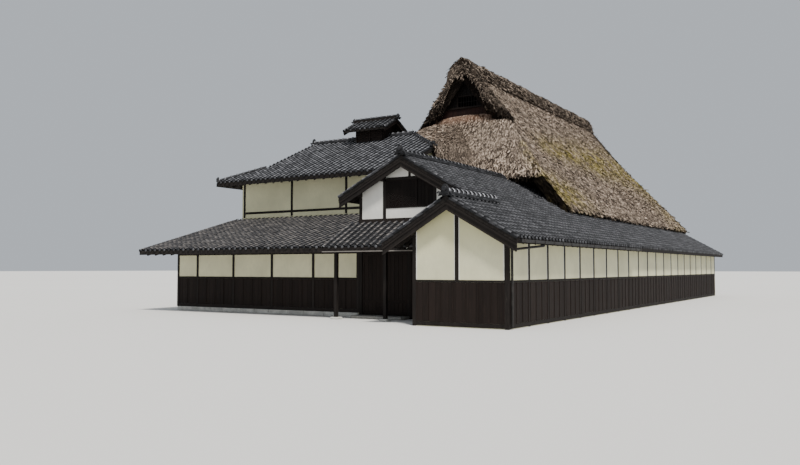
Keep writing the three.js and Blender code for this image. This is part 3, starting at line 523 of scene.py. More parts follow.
def finish(name):
    """The named finish, made when it is first asked for."""
    if name not in FINISHES:
        tiles, walls, thatch = settings("tiles"), settings("walls"), settings("thatch")
        makers = {
            # The third colour is the painted shade and olive reflection under the eaves.
            "clay": lambda: plaster_finish("clay_plaster", walls.clay, (0.6, 0.57, 0.27)),
            "lime": lambda: plaster_finish("lime_plaster", walls.lime),
            "timber": lambda: wood_finish("timber", walls.timber),
            "timber_solid": lambda: wood_finish("timber_solid", walls.timber, False, (7, 7, 0.6)),
            "planks": lambda: wood_finish("planks", walls.planks),
            "planks_solid": lambda: wood_finish("planks_solid", walls.planks, False, (7, 7, 0.5)),
            "grey_wood": lambda: wood_finish("grey_wood", (0.13, 0.12, 0.11), worn=1.6),
            "dark_planks": lambda: wood_finish("dark_boards", shade(walls.planks, 0.5)),
            "door": lambda: wood_finish("door_boards", shade(walls.planks, 0.9), worn=2.6),
            "tile": lambda: tile_finish("smoked_tile", tiles.colour, tiles.pale),
            # The pale cap finish is worn tile and a painted highlight.
            "cap": lambda: tile_finish("worn_and_highlit_tile", shade(tiles.pale, 0.35), shade(tiles.pale, 1.9), 0.9),
            "deck": lambda: deck_finish("roof_deck", tiles.colour, walls.timber),
            "reed": lambda: reed_finish("reed", thatch.light, thatch.dark, thatch.moss),
            # The old reed finish is darker both as older reed and as painted shade on the verge rolls.
            "old_and_shaded_reed": lambda: reed_finish("old_and_shaded_reed", shade(thatch.light, 0.6), shade(thatch.dark, 0.6)),
            # Near-black sooty boards, darkened further as painted shade for the deep gable openings.
            "painted_shade": lambda: wood_finish("sooty_shaded_boards", (0.0035, 0.0028, 0.0025), False, (7, 7, 0.5)),
            "red": lambda: wood_finish("red_boards", (0.0105, 0.0048, 0.0038)),
            "bright": lambda: tile_finish(
                "bright_tile", shade(tiles.colour, 1.6), shade(tiles.pale, 1.5), 0.9),
            "weathered": lambda: tile_finish(
                "weathered_tile", shade(tiles.colour, 2.2), (0.33, 0.3, 0.28), 0.9),
            "stone": lambda: stone_finish("granite", (0.36, 0.35, 0.32)),
            "pale_stone": lambda: stone_finish("pale_granite", (0.66, 0.65, 0.6)),
            "metal": lambda: metal_finish("gutter_metal", (0.016, 0.0145, 0.0135)),
            "floor": lambda: wood_finish("floor_boards", (0.2, 0.14, 0.09), False, (0.6, 8, 8), 1.5),
        }
        FINISHES[name] = makers[name]()
    return FINISHES[name]


def dress(name, *nodes):
    """Gives solids of the frame a finish."""
    for node in nodes:
        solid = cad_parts[node]
        if not solid.material_slots:
            solid.data.materials.append(None)
        for place in solid.material_slots:
            place.material = finish(name)


# Tiles

# Section of a tile across its width, from its roll to its flat edge, as shares of the width and of the roll
SECTION = np.array([(0.0, 0.5), (0.08, 0.84), (0.17, 1.0), (0.27, 0.97), (0.37, 0.66), (0.48, 0.24),
                    (0.62, 0.0), (0.8, 0.03), (1.0, 0.22)])


class Slope:
    """A roof surface: a point of its eave, the level direction up the slope, and its pitch."""

    def __init__(self, eave, up, pitch):
        self.eave, self.pitch = np.array(eave, float), pitch
        self.up = np.array([*up, 0.0])
        self.along = np.array([-up[1], up[0], 0.0])
        self.rise = (self.up + UP * pitch) / math.hypot(1, pitch)
        self.normal = np.cross(self.rise, self.along)

    def at(self, a, s, h=0.0):
        """Points a metres along the eave, s metres up the slope in plan and h metres off it."""
        a, s, h = (np.asarray(v, float)[..., None] for v in (a, s, h))
        return self.eave + a * self.along + s * (self.up + UP * self.pitch) + h * self.normal

    def plan(self, points):
        """Plan points as distances along the eave and up the slope."""
        offset = np.asarray(points, float) - self.eave[:2]
        return np.stack([offset @ self.along[:2], offset @ self.up[:2]], -1)

    def height(self, x, y):
        return self.eave[2] + self.pitch * ((x - self.eave[0]) * self.up[0] + (y - self.eave[1]) * self.up[1])


SLOPES = {
    "right": Slope((RIGHT_EAVE, 0, 2.521), (-1, 0), 0.569),
    "bay_left": Slope((BAY_EAVE, 0, 2.4724), (1, 0), 0.586),
    "upper_left": Slope((UPPER_EAVE, 0, 4.173), (1, 0), 0.5035),
    "pent": Slope((0, FRONT_EAVE, 2.37), (0, 1), 0.528),
    "lean_to": Slope((0, FRONT_EAVE, 2.37), (0, 1), 0.28),
    "wing_front": Slope((0, WING_FRONT, 5.5), (0, 1), WING_PITCH),
    "wing_back": Slope((0, WING_BACK, 5.5), (0, -1), WING_PITCH),
    "wing_end": Slope((WING_END, 0, 5.5), (1, 0), WING_PITCH),
    "wing_hip": Slope((-6.8, 0, 6.67), (-1, 0), WING_PITCH),
    "left_aisle": Slope((LEFT_EAVE, 0, 2.521), (1, 0), 0.5133),
    "vent_front": Slope((0, 9.2, 8.08), (0, 1), 0.52),
    "vent_back": Slope((0, 11.2, 8.08), (0, -1), 0.52),
}


def gable_height(x, left, right="right"):
    """Height of a gabled roof over x, from the names of its two slopes."""
    return min(SLOPES[left].height(x, 0), SLOPES[right].height(x, 0))


def box_plan(x0, x1, y0, y1):
    return [(x0, y0), (x1, y0), (x1, y1), (x0, y1)]


# Plans of the tiled surfaces, each with its slope. Every plan is convex, or is split into convex ones.
TILED = {
    "bay_right_tiles": ("right", [box_plan(BAY_X, RIGHT_EAVE, BAY_VERGE, UPPER_VERGE)]),
    "bay_left_tiles": ("bay_left", [[(BAY_EAVE, BAY_VERGE), (BAY_X, BAY_VERGE), (BAY_X, 2.33), (-2.673, 2.33),
                                     (BAY_EAVE, 0.894)]]),
    "right_slope_tiles": ("right", [box_plan(UPPER_X, RIGHT_EAVE, UPPER_VERGE, THATCH_FOOT)]),
    "right_lean_to_tiles": ("right", [box_plan(LEAN_TO_TOP, RIGHT_EAVE, THATCH_FOOT, BACK_VERGE)]),
    "upper_left_tiles": ("upper_left", [box_plan(UPPER_EAVE, UPPER_X, UPPER_VERGE, 6.0),
                                        box_plan(UPPER_TOP, UPPER_X, 6.0, THATCH_FOOT)]),
    "pent_tiles": ("pent", [box_plan(-7.0, BAY_EAVE, FRONT_EAVE, 2.33),
                            [(BAY_EAVE, 0.894), (-2.673, 2.33), (BAY_EAVE, 2.33)],
                            box_plan(-3.66, -3.07, FRONT_EAVE, 1.3)]),
    "front_lean_to_tiles": ("lean_to", [box_plan(LEFT_EAVE, -7.0, FRONT_EAVE, 2.33),
                                        box_plan(LEFT_EAVE, -6.647, 2.33, 6.0)]),
    "wing_front_tiles": ("wing_front", [
        [(WING_VERGE, WING_FRONT), (-6.8, WING_FRONT), (-6.8, 7.8), (-9.2, WING_Y), (WING_VERGE, WING_Y)],
        [(WING_END, WING_FRONT), (WING_VERGE, WING_FRONT), (WING_VERGE, 6.83)]]),
    "wing_back_tiles": ("wing_back", [
        [(WING_VERGE, WING_Y), (-9.2, WING_Y), (-7.4, THATCH_FOOT), (WING_VERGE, THATCH_FOOT)],
        [(WING_VERGE, THATCH_FOOT), (-10.9, THATCH_FOOT), (-12.085, WING_BACK), (WING_VERGE, WING_BACK)],
        [(WING_END, WING_BACK), (WING_VERGE, 13.57), (WING_VERGE, WING_BACK)]]),
    "wing_end_tiles": ("wing_end", [
        [(WING_END, WING_FRONT), (WING_VERGE, 6.83), (WING_VERGE, 13.57), (WING_END, WING_BACK)]]),
    "left_lean_to_tiles": ("left_aisle", [box_plan(LEFT_EAVE, AISLE_TOP, 14.4, BACK_VERGE)]),
    "vent_front_tiles": ("vent_front", [box_plan(*VENT_ENDS, 9.2, WING_Y)]),
    "vent_back_tiles": ("vent_back", [box_plan(*VENT_ENDS, WING_Y, 11.2)]),
}

# The finish of the tiles on slopes that are lighter than the others
TILE_LOOKS = {"pent": "weathered", "bay_left": "weathered", "lean_to": "weathered", "wing_front": "bright"}


def plans_on(slope):
    return [plan for name, plans in TILED.values() if name == slope for plan in plans]


def inside_edges(region):
    """The edges of a convex plan, each as a point and the unit direction into it."""
    region = np.asarray(region, float)
    middle = region.mean(0)
    for start, end in zip(region, np.roll(region, -1, 0)):
        run = (end - start) / np.linalg.norm(end - start)
        inward = np.array([-run[1], run[0]])
        yield start, inward if inward @ (middle - start) > 0 else -inward


# A tile may pass the edge of its plan by this much and stays whole.
SLACK = 0.03


def lay_tiles(stock, slope, region):
    """Tiles over one convex region of a slope. Those that its edges cross are cut to it.

    A tile has four rows of points: its front and its back edge, then the top and the foot of its lip.
    """
    tiles = settings("tiles")
    front, back, overlap, eave_drop = 0.03, 0.006, 0.014, -0.05
    course = tiles.course / math.hypot(1, slope.pitch)
    corners = slope.plan(region)
    (a0, s0), (a1, s1) = corners.min(0), corners.max(0)
    columns = np.arange(math.floor(a0 / tiles.width), math.ceil(a1 / tiles.width))
    courses = np.arange(math.floor(s0 / course + 1e-6), math.ceil(s1 / course - 1e-6))
    k, j = (grid.ravel() for grid in np.meshgrid(columns, courses))
    chance = stock.chance
    lift = chance.normal(0, 0.0022, (len(k), 1, 1))
    tilt = chance.normal(0, 0.0025, (len(k), 1, 1))
    slip = chance.normal(0, 0.002, (len(k), 1, 1))
    across = SECTION[:, 0] * tiles.width
    wave = SECTION[:, 1] * tiles.roll
    a = (k * tiles.width)[:, None, None] + across + np.zeros((1, 4, 1))
    low, high = j * course - overlap, (j + 1) * course
    s = np.stack([low, high, low, low], 1)[:, :, None] + slip
    at_eave = j == 0
    drop = np.where(at_eave, eave_drop, -back)
    h = np.stack([0 * drop + front, 0 * drop + back, 0 * drop + front, drop], 1)[:, :, None]
    h = h + np.array([1, 1, 1, 0.4]).reshape(1, 4, 1) * wave + lift + tilt * np.linspace(-1, 1, len(across))
    h[:, 3] = np.where(at_eave[:, None], drop[:, None] + 0.5 * wave, np.minimum(h[:, 3], h[:, 2] - 0.02))
    points = slope.at(a, np.broadcast_to(s, a.shape), h)
    n = len(across)
    # The tones paint a highlight on the crests and lips of the rolls, and painted shade in the troughs and at
    # the back of each tile under the one above.
    crest = SECTION[:, 1] ** 1.5
    rows = np.array([0.75, 0.1, 1.0, 0.1])[:, None]
    tones = chance.uniform(0.35, 1.0, len(k))[:, None, None] * crest * rows + 0.12 * (rows > 0.5)
    tones = np.clip(tones - 0.25 * (1 - crest) * (rows < 0.9), -0.25, 1).reshape(len(k), -1)
    i = np.arange(n - 1)
    sheet = np.stack([i, i + 1, n + i + 1, n + i], -1)
    lip = np.stack([2 * n + i + 1, 2 * n + i, 3 * n + i, 3 * n + i + 1], -1)
    faces = np.vstack([sheet, lip])
    if np.cross(points[0, 0, 1] - points[0, 0, 0], points[0, 1, 0] - points[0, 0, 0])[2] < 0:
        faces = faces[:, ::-1]
    flat = points[..., :2].reshape(len(k), -1, 2)
    inside = np.ones(len(k), bool)
    outside = np.zeros(len(k), bool)
    for start, inward in inside_edges(region):
        depth = (flat - start) @ inward
        inside &= (depth > -SLACK).all(1)
        outside |= (depth < 0).all(1)
    whole = points[inside & ~outside].reshape(-1, 4 * n, 3)
    if len(whole):
        quads = (np.arange(len(whole)) * 4 * n)[:, None, None] + faces
        stock.add(whole, quads.reshape(-1, 4), (), tones[inside & ~outside].ravel())
    rest = ~inside & ~outside
    if rest.any():
        cut_tiles(stock, points[rest].reshape(-1, 4 * n, 3), tones[rest], faces, region)


def cut_tiles(stock, groups, tones, faces, region):
    """The tiles that an edge of a region crosses, cut off along it."""
    cutter = bmesh.new()
    layer = cutter.verts.layers.float.new("tone")
    for group, tone in zip(groups, tones):
        made = [cutter.verts.new(p) for p in group]
        for vertex, value in zip(made, tone):
            vertex[layer] = value
        for face in faces:
            cutter.faces.new([made[i] for i in face])
    for start, inward in inside_edges(region):
        bmesh.ops.bisect_plane(
            cutter, geom=[*cutter.verts, *cutter.edges, *cutter.faces], plane_co=(*start, 0),
            plane_no=(*-inward, 0), clear_outer=True)
    bmesh.ops.triangulate(cutter, faces=[f for f in cutter.faces if len(f.verts) > 4])
    cutter.verts.index_update()
    points = [v.co[:] for v in cutter.verts]
    tones = [v[layer] for v in cutter.verts]
    quads = [[v.index for v in f.verts] for f in cutter.faces if len(f.verts) == 4]
    triangles = [[v.index for v in f.verts] for f in cutter.faces if len(f.verts) == 3]
    if points:
        stock.add(points, quads, triangles, tones)
    cutter.free()


def eave_discs(stock, slope, a0, a1):
    """The round ends of the rolls along an eave, between two distances along it."""
    width = settings("tiles").width
    disc = circle(np.linspace(0, 2 * math.pi, 10, endpoint=False), slope.along, UP)
    for k in range(math.ceil(a0 / width), math.floor(a1 / width)):
        middle = slope.at((k + 0.21) * width, -0.02, 0.024)
        rings = [middle - slope.up * out + radius * disc
                 for radius, out in ((0.047, -0.01), (0.047, 0.012), (0.038, 0.02), (0.006, 0.022))]
        stock.loft(rings, True, stock.chance.uniform(0.1, 0.6))


def verge_tiles(stock, slope, point, length, side):
    """Edge tiles up a verge: a roll over the edge and a plate that hangs down beside it."""
    course = settings("tiles").course / math.hypot(1, slope.pitch)
    a = slope.plan([point])[0, 0]
    angles = np.linspace(0, math.pi, 7)
    for j in range(int(length / course)):
        rings = [slope.at(a - side * 0.044 + radius * np.cos(angles), s, 0.018 + radius * np.sin(angles))
                 for s, radius in ((j * course - 0.02, 0.056), ((j + 1) * course, 0.045))]
        # Each verge roll gets a painted highlight on its lower lip and painted shade towards its back.
        tone = stock.chance.uniform(-0.15, 0.25)
        lip = stock.chance.uniform(0.35, 0.95)
        stock.loft(rings, False, np.repeat([lip, tone], len(angles)))
        start = slope.at(a + side * 0.012, j * course - 0.015, -0.006)
        end = slope.at(a + side * 0.012, (j + 1) * course + 0.01, -0.02)
        stock.beam(start, end, 0.02, 0.055, slope.normal, 0.004, tone)


RIDGE_TILE = 0.28
RIDGE_COURSE = 0.045


def ridge_tiles(stock, caps, start, end, layers=3, half=0.16, cap=0.07):
    """A ridge: courses of flat tiles, narrower towards the top, under half-round caps."""
    start, end = np.asarray(start, float), np.asarray(end, float)
    length = np.linalg.norm(end - start)
    run = (end - start) / length
    side = unit(np.cross(run, UP))
    up = np.cross(side, run)
    count = max(1, round(length / RIDGE_TILE))
    pitch = length / count
    for layer in range(layers):
        shift = pitch / 2 * (layer % 2)
        for i in range(count):
            t0, t1 = max(0, i * pitch - shift), (i + 1) * pitch - shift
            if layer % 2 and i == count - 1:
                t1 = length
            middle = start + run * (t0 + t1) / 2 + up * (0.02 + RIDGE_COURSE * layer)
            width = 2 * (half - 0.022 * layer) + stock.chance.normal(0, 0.003)
            stock.block(middle, [run, side, up], [t1 - t0 - 0.004, width, 0.034], 0.009,
                        stock.chance.uniform(0, 0.35))
    top = start + up * (RIDGE_COURSE * layers - 0.005)
    arc = circle(np.linspace(math.pi + 0.25, -0.25, 11), side, up)
    stations = ((0.0, cap * 1.3), (0.06, cap * 1.3), (0.075, cap), (pitch + 0.01, cap * 0.8))
    # The caps get a painted highlight on their front rims and painted shade at the back, under the next cap.
    tones = np.repeat([0.8, 1.0, 0.5, -0.2], len(arc))
    for i in range(count):
        rings = [top + run * (i * pitch + t) + radius * arc for t, radius in stations]
        caps.loft(rings, False, tones * caps.chance.uniform(0.6, 1))


def ridge_end(stock, foot, facing, size=0.175):
    """A plain ridge-end tile: an arched plate with a round boss and two curled feet."""
    foot, facing = np.asarray(foot, float), unit([*facing, 0.0])
    side = np.cross(facing, UP)
    right = [(0.3, 1.5), (0.6, 1.05), (0.72, 0.5), (1.05, 0.15), (1.25, -0.35)]
    outline = [*[(-x, z) for x, z in reversed(right)], (0, 1.62), *right, (0.4, -0.1), (0, 0), (-0.4, -0.1)]
    rings = []
    for out, scale in ((0.0, 0.94), (0.015, 1.0), (0.07, 1.0), (0.085, 0.93)):
        rings.append([foot + facing * out + (x * side + (z * scale + 0.3 * (1 - scale)) * UP) * size * scale
                      for x, z in outline])
    stock.loft(np.array(rings), True, 0.0, True)
    round_edge = circle(np.linspace(0, 2 * math.pi, 14, endpoint=False), side, UP)
    boss = [foot + facing * out + UP * size * 0.85 + size * radius * round_edge
            for out, radius in ((0.06, 0.42), (0.11, 0.4), (0.125, 0.32), (0.13, 0.02))]
    stock.loft(boss, True, 0.12)
    for hand in (-1, 1):
        curl = []
        for t in np.linspace(0, 4.4, 14):
            radius = size * (0.34 - 0.055 * t)
            x = hand * (size * 0.9 + radius * math.cos(t))
            curl.append(foot + facing * 0.1 + side * x + UP * (radius * math.sin(t) + size * 0.05))
        stock.tube(curl, np.linspace(0.028, 0.014, 14), 7, 0.15)


# Thatch

def tile_height(x, y):
    """Height of the tiled roofs under plan points, or well below ground where there are none."""
    heights = np.full(np.shape(x), -10.0)
    low = y < THATCH_FOOT
    for region, names in (
        ((x > LEAN_TO_TOP) & (y < BACK_VERGE), ["right"]),
        ((x > UPPER_X) & low, ["right"]),
        ((x > UPPER_TOP) & (x <= UPPER_X) & low, ["upper_left"]),
        ((x < AISLE_TOP) & (y > 14.4) & (y < BACK_VERGE), ["left_aisle"]),
        ((x < -6.8) & (x > WING_VERGE) & low, ["wing_front", "wing_back", "wing_hip"]),
        ((x < -10.6) & (x > WING_END) & (y < WING_BACK) & (y > THATCH_FOOT), ["wing_back", "wing_end"]),
    ):
        lowest = np.minimum.reduce([SLOPES[name].height(x, y) for name in names])
        heights = np.where(region, np.maximum(heights, lowest), heights)
    return heights


def clear_of_tiles(points, gap):
    """The points that lie more than a gap above the tiled roofs."""
    return points[points[:, 2] > tile_height(points[:, 0], points[:, 1]) + gap]


def ripple(*place):
    """Smooth noise at one place, from minus one to one."""
    return noise.noise(Vector(place))


def rumple(points, scale, seed=0.0):
    """Smooth noise at points, from minus one to one."""
    return np.array([ripple(p[0] * scale + seed, p[1] * scale, p[2] * scale) for p in points])


class Thatch(Stock):
    """A stock of thatch. Each point has a share of moss and of red-brown as well."""

    def __init__(self, seed):
        super().__init__(seed)
        self.moss, self.red = [], []

    def add(self, points, quads=(), triangles=(), tone=None, grain=None):
        super().add(points, quads, triangles, tone, grain)
        x, y, z = np.asarray(points, float).reshape(-1, 3).T
        d = x - RIDGE_X
        back = np.clip(y - 12.5, 0, 20)
        band = np.exp(-((d - 3.3 + 0.025 * back) / (0.4 + 0.045 * back)) ** 2)
        band *= np.clip((y - 12.2) / 2.5, 0, 1)
        corner = np.exp(-((d - 5.3) / 0.6) ** 2 - ((y - 11.4) / 2.2) ** 2)
        hip = np.exp(-(((y - FRONT_LIP[0]) / 1.952 + (d - 4.633) / 2.341) / 0.13) ** 2)
        hip *= (y < 12.4) * (d > 3.2) * 0.6
        rear = np.clip((y - 26) / 4, 0, 1) * np.clip((np.abs(d) - 1.5) / 1.5, 0, 1) * 0.45
        self.moss.append(np.clip(band + corner + hip + rear, 0, 1))
        self.red.append(0.75 * np.exp(-((z - 8.7) / 0.22) ** 2) * (y < 12.6) * (np.abs(d) < 1.7)
                        + 0.25 * np.exp(-((d + 2.6) / 0.8) ** 2) * (y < 12.6))

    def piece(self, name, look, slot, body=HOUSE, smooth=False, replaces=()):
        made = super().piece(name, look, slot, body, smooth, replaces)
        for key, values in (("moss", self.moss), ("red", self.red)):
            made.data.attributes.new(key, "FLOAT", "POINT").data.foreach_set("value", np.concatenate(values))
        return made

    def reeds(self, bases, down, out, length, width, splay=0.35, lift=(0.012, 0.05), tones=(0.0, 1.0)):
        """A flat reed at each base, pointing down with some splay, its lower end standing off the surface."""
        count = len(bases)
        down, out = (np.broadcast_to(np.asarray(v, float), (count, 3)) for v in (down, out))
        side = np.cross(down, out)
        turn = self.chance.normal(0, splay, (count, 1))
        way = down * np.cos(turn) + side * np.sin(turn)
        across = side * np.cos(turn) - down * np.sin(turn)
        reach = length * self.chance.uniform(0.55, 1.45, (count, 1))
        half = width * self.chance.uniform(0.25, 0.75, (count, 1))
        raised = self.chance.uniform(*lift, (count, 1))
        roll = self.chance.normal(0, 0.35, (count, 1)) * half
        tips = bases + way * reach + out * raised
        root = bases + out * 0.012
        points = np.stack([
            root - across * half, root + across * half,
            tips + across * half * 0.7 + out * roll, tips - across * half * 0.7 - out * roll], 1)
        quads = np.arange(count * 4).reshape(-1, 4)
        tone = self.chance.uniform(*tones, count)
        self.add(points, quads, (), np.repeat(tone, 4))

    def within(self, corners):
        """A point drawn in each quad, given the four corners of the quads."""
        a, b, c, d = corners
        s, t = self.chance.random((2, len(a), 1))
        return a * (1 - s) * (1 - t) + b * s * (1 - t) + c * (1 - s) * t + d * s * t

    def over(self, rings, count, columns):
        """Points drawn on the first columns of a loft, and the number of the ring before each of them."""
        i = self.chance.integers(0, len(rings) - 1, count)
        j = self.chance.integers(0, columns, count)
        return self.within([rings[i, j], rings[i + 1, j], rings[i, j + 1], rings[i + 1, j + 1]]), i


# The cut lip of the thatch from the outside inwards: how far down the slope each line stands, and how deep
LIP = ((0.03, 0.02), (0.055, 0.09), (0.04, 0.2), (0.0, 0.33), (-0.06, THATCH_THICKNESS))


def thatch_shell(thatch, surface, normal, down, rows, columns):
    """The rumpled shell of a slope, with a ragged cut lip. Gives its outer face and the whole shell."""
    v, w = np.meshgrid(np.linspace(0, 1, rows), np.linspace(0, 1, columns), indexing="ij")
    outer = surface(v, w).reshape(-1, 3)
    wave = 0.035 * rumple(outer, 0.8, 3.1) + 0.018 * rumple(outer, 2.6)
    wave -= 0.06 * np.exp(-(np.minimum(w, 1 - w).ravel() / 0.012) ** 2)
    outer = (outer + normal * wave[:, None]).reshape(rows, columns, 3)
    skin = [outer]
    last = outer[-1] - down * 0.03
    for forward, inward in LIP:
        ragged = 0.03 * rumple(last, 5.0, inward * 40)[:, None]
        skin.append((last + down * (forward + ragged) - normal * inward)[None])
    skin = np.concatenate([*skin, outer[-2::-1] - normal * THATCH_THICKNESS])
    x = skin[..., 0]
    floor = tile_height(x, skin[..., 1]) + 0.075
    floor += np.where((x > LEAN_TO_TOP) | (x < AISLE_TOP), 0.1, 0.0)
    sunk = skin[..., 2] < floor - 0.05
    skin[..., 2] = np.maximum(skin[..., 2], floor)
    total = len(skin)
    i, j = np.meshgrid(np.arange(total - 1), np.arange(columns - 1), indexing="ij")
    dropped = sunk[:-1, :-1] & sunk[1:, :-1] & sunk[:-1, 1:] & sunk[1:, 1:]
    first, second = i * columns + j, (i + 1) * columns + j
    quads = np.stack([first, second, second + 1, first + 1], -1)[~dropped]
    if np.cross(skin[1, 0] - skin[0, 0], skin[0, 1] - skin[0, 0]) @ normal < 0:
        quads = quads[:, ::-1]
    # Tones below zero paint shade on the cut lip, deeper towards the inside, and on the underside.
    tone = np.full((total, columns), -0.9)
    tone[:rows] = 0.1
    tone[rows:rows + 2] = -0.2
    thatch.add(skin, quads, (), tone.ravel())
    return outer, skin


def thatch_slope(name, seed, surface, normal, down, rows, columns, density, nodes=(), lighter=0.0,
                 lean=(0.0, 0.0)):
    """One slope of the thatch: its shell, closed by sides dark with painted shade, under a layer of reeds.

    The reeds lean sideways by the first share of lean, and by the second for each metre right of the ridge.
    """
    thatch = Thatch(seed)
    chance = thatch.chance
    values = settings("thatch")
    normal, down = unit(normal), unit(down)
    outer, skin = thatch_shell(thatch, surface, normal, down, rows, columns)
    total = len(skin)
    # The sides and the reeds on them are dark with painted shade.
    for column, flip in ((0, False), (columns - 1, True)):
        strip = skin[:, column]
        for row in range((total - 1) // 2):
            side = [strip[row], strip[row + 1], strip[total - 2 - row], strip[total - 1 - row]]
            thatch.add(side, [[0, 1, 2, 3] if flip else [3, 2, 1, 0]], (), -0.9)
        outward = np.cross(normal, down) * (-1 if flip else 1)
        if outward @ (skin[0, column] - skin[0, columns // 2]) < 0:
            outward = -outward
        n = chance.integers(0, rows - 1, 420)
        bases = thatch.within([strip[n], strip[n + 1], strip[total - 1 - n], strip[total - 2 - n]])
        thatch.reeds(clear_of_tiles(bases, 0.1), down, outward, 0.25, 0.05, 0.35, (0.0, 0.05), (-1.1, -0.62))
    corners = outer[:-1, :-1], outer[1:, :-1], outer[:-1, 1:], outer[1:, 1:]
    areas = np.linalg.norm(np.cross(corners[3] - corners[0], corners[2] - corners[1]), axis=-1).ravel() / 2
    for share, length, width, tones in (
        (0.44, 1.0, 1.0, (0.35, 1.0)), (0.28, 1.0, 1.3, (-0.4, 0.15)), (0.28, 0.8, 0.6, (0.1, 1.2)),
    ):
        picked = chance.choice(len(areas), int(density * share * areas.sum()), p=areas / areas.sum())
        bases = clear_of_tiles(thatch.within([c.reshape(-1, 3)[picked] for c in corners]), 0.05)
        way = down + (lean[0] + lean[1] * (bases[:, :1] - RIDGE_X)) * np.array([1.0, 0, 0])
        way /= np.linalg.norm(way, axis=1)[:, None]
        thatch.reeds(bases - down * values.length * 0.5, way, normal, values.length * length,
                     values.width * width, 0.3, tones=(tones[0] + lighter, tones[1] + lighter))
    count = int(np.linalg.norm(outer[-1, -1] - outer[-1, 0]) * 130)
    j = chance.integers(0, columns - 1, count)
    share = chance.random((count, 1))
    depth = chance.uniform(-0.01, THATCH_THICKNESS * 0.95, (count, 1))
    bases = outer[-1, j] * (1 - share) + outer[-1, j + 1] * share - normal * depth - down * 0.06
    upper = depth[:, 0] < 0.1
    # The reeds deeper in the cut lip are darker, as painted shade.
    for layer, tone in ((upper, 0.5), (~upper, -0.5)):
        thatch.reeds(clear_of_tiles(bases[layer], 0.16), down, normal, 0.16, values.width, 0.25,
                     (-0.02, 0.02), (tone - 0.3, tone + 0.4))
    thatch.piece(name, "reed", "thatch", replaces=nodes)


def side_surface(sign):
    """A side slope as a function of two shares, down it and along it. sign is below zero for the left one."""
    def surface(v, w):
        d = v * SIDE_REACH
        past = np.maximum(d - GABLE_HALF, 0)
        front = np.maximum(GABLE_Y[0] - past * SIDE_PITCH / HIP_PITCH, FRONT_LIP[0])
        back = GABLE_Y[1] + past * SIDE_PITCH / HIP_PITCH
        y = front + (back - front) * w
        return np.stack([RIDGE_X + sign * d, y, RIDGE_Z - SIDE_PITCH * d], -1)
    return surface


def end_surface(top, lip, way):
    """The slope under a gable, from the y of its top to the y of its lip."""
    def surface(v, w):
        run = v * abs(lip - top)
        half = GABLE_HALF + run * HIP_PITCH / SIDE_PITCH
        return np.stack([RIDGE_X + (2 * w - 1) * half, top + way * run, GABLE_Z - HIP_PITCH * run], -1)
    return surface


VALLEY_PITCH = 0.36
VALLEY_X = (-9.25, -6.74)


def valley_surface(v, w):
    """The apron of thatch between the wing and the front slope, over the inner hip of the wing."""
    x = VALLEY_X[0] + (VALLEY_X[1] - VALLEY_X[0]) * w
    hip_y = WING_Y - (x + 9.2) + 0.1
    hip_z = WING_Z - WING_PITCH * (x + 9.2) + 0.1
    front = FRONT_LIP[1] - HIP_PITCH * FRONT_LIP[0]
    top_y = (hip_z - VALLEY_PITCH * hip_y - front) / (HIP_PITCH - VALLEY_PITCH) + 0.1
    y = top_y + (hip_y - top_y) * v
    apron = hip_z + VALLEY_PITCH * (y - hip_y)
    shoulder = 6.9 + 1.3 * (VALLEY_X[1] - x)
    blend = 0.35
    share = np.clip(0.5 + 0.5 * (shoulder - apron) / blend, 0, 1)
    return np.stack([x, y, shoulder + (apron - shoulder) * share - blend * share * (1 - share)], -1)


def build_valley():
    """The apron, and the fringe of reeds that hangs from its right edge."""
    values = settings("thatch")
    thatch_slope("thatch_valley", 15, valley_surface, (0, -VALLEY_PITCH, 1), (0, -1, -VALLEY_PITCH), 20, 24,
                 values.reeds, lighter=0.15, lean=(-0.5, 0.0))
    fringe = Thatch(16)
    chance = fringe.chance
    edge = valley_surface(np.linspace(0, 1, 24), np.ones(24))
    rings = [edge + np.array([0.0, 0, 0.01])]
    for out, low in ((0.05, 6.75), (0.06, 6.45), (0.03, 6.2), (-0.1, 6.12), (-0.12, 6.6)):
        ring = edge + np.array([out, 0.0, 0.0])
        ring[:, 2] = low + 0.05 * rumple(edge, 3.0, out * 50)
        rings.append(ring)
    fringe.loft(np.array(rings)[::-1], False, -0.1)
    count, foot = 3800, 6.3
    y = chance.uniform(edge[-1, 1], edge[0, 1], count)
    top = np.interp(y, edge[::-1, 1], edge[::-1, 2])
    z = foot + (top + chance.uniform(-0.08, 0.3, count) - foot) * chance.random(count)
    bases = np.stack([VALLEY_X[1] + 0.05 - 0.8 * np.clip(z - top + 0.03, 0, None), y, z], -1)
    fringe.reeds(bases, (0, -0.25, -1), (1, 0, 0), values.length, values.width, 0.45, (0.0, 0.05),
                 (-0.35, 0.8))
    fringe.piece("thatch_fringe", "reed", "thatch")


def build_thatch():
    """The four slopes of the main roof, the apron beside the wing and the sill of the front gable."""
    density = settings("thatch").reeds
    for name, seed, sign, rows, columns, share in (
        ("thatch_right", 11, 1, 64, 150, 1.0), ("thatch_left", 12, -1, 50, 100, 0.5),
    ):
        thatch_slope(name, seed, side_surface(sign), (sign * SIDE_PITCH, 0, 1), (sign, 0, -SIDE_PITCH), rows,
                     columns, int(density * share), [name + "_slope"])
    for name, seed, top, lip, way, rows, share, lean in (
        ("thatch_front", 13, GABLE_Y[0], FRONT_LIP[0], -1, 30, 1.3, (-0.18, 0.12)),
        ("thatch_back", 14, GABLE_Y[1], BACK_LIP_Y, 1, 40, 0.6, (0.0, 0.12)),
    ):
        thatch_slope(name, seed, end_surface(top, lip, way), (0, way * HIP_PITCH, 1), (0, way, -HIP_PITCH),
                     rows, 90, int(density * share), [name + "_slope"], lean=lean)
    build_valley()
    build_sill()


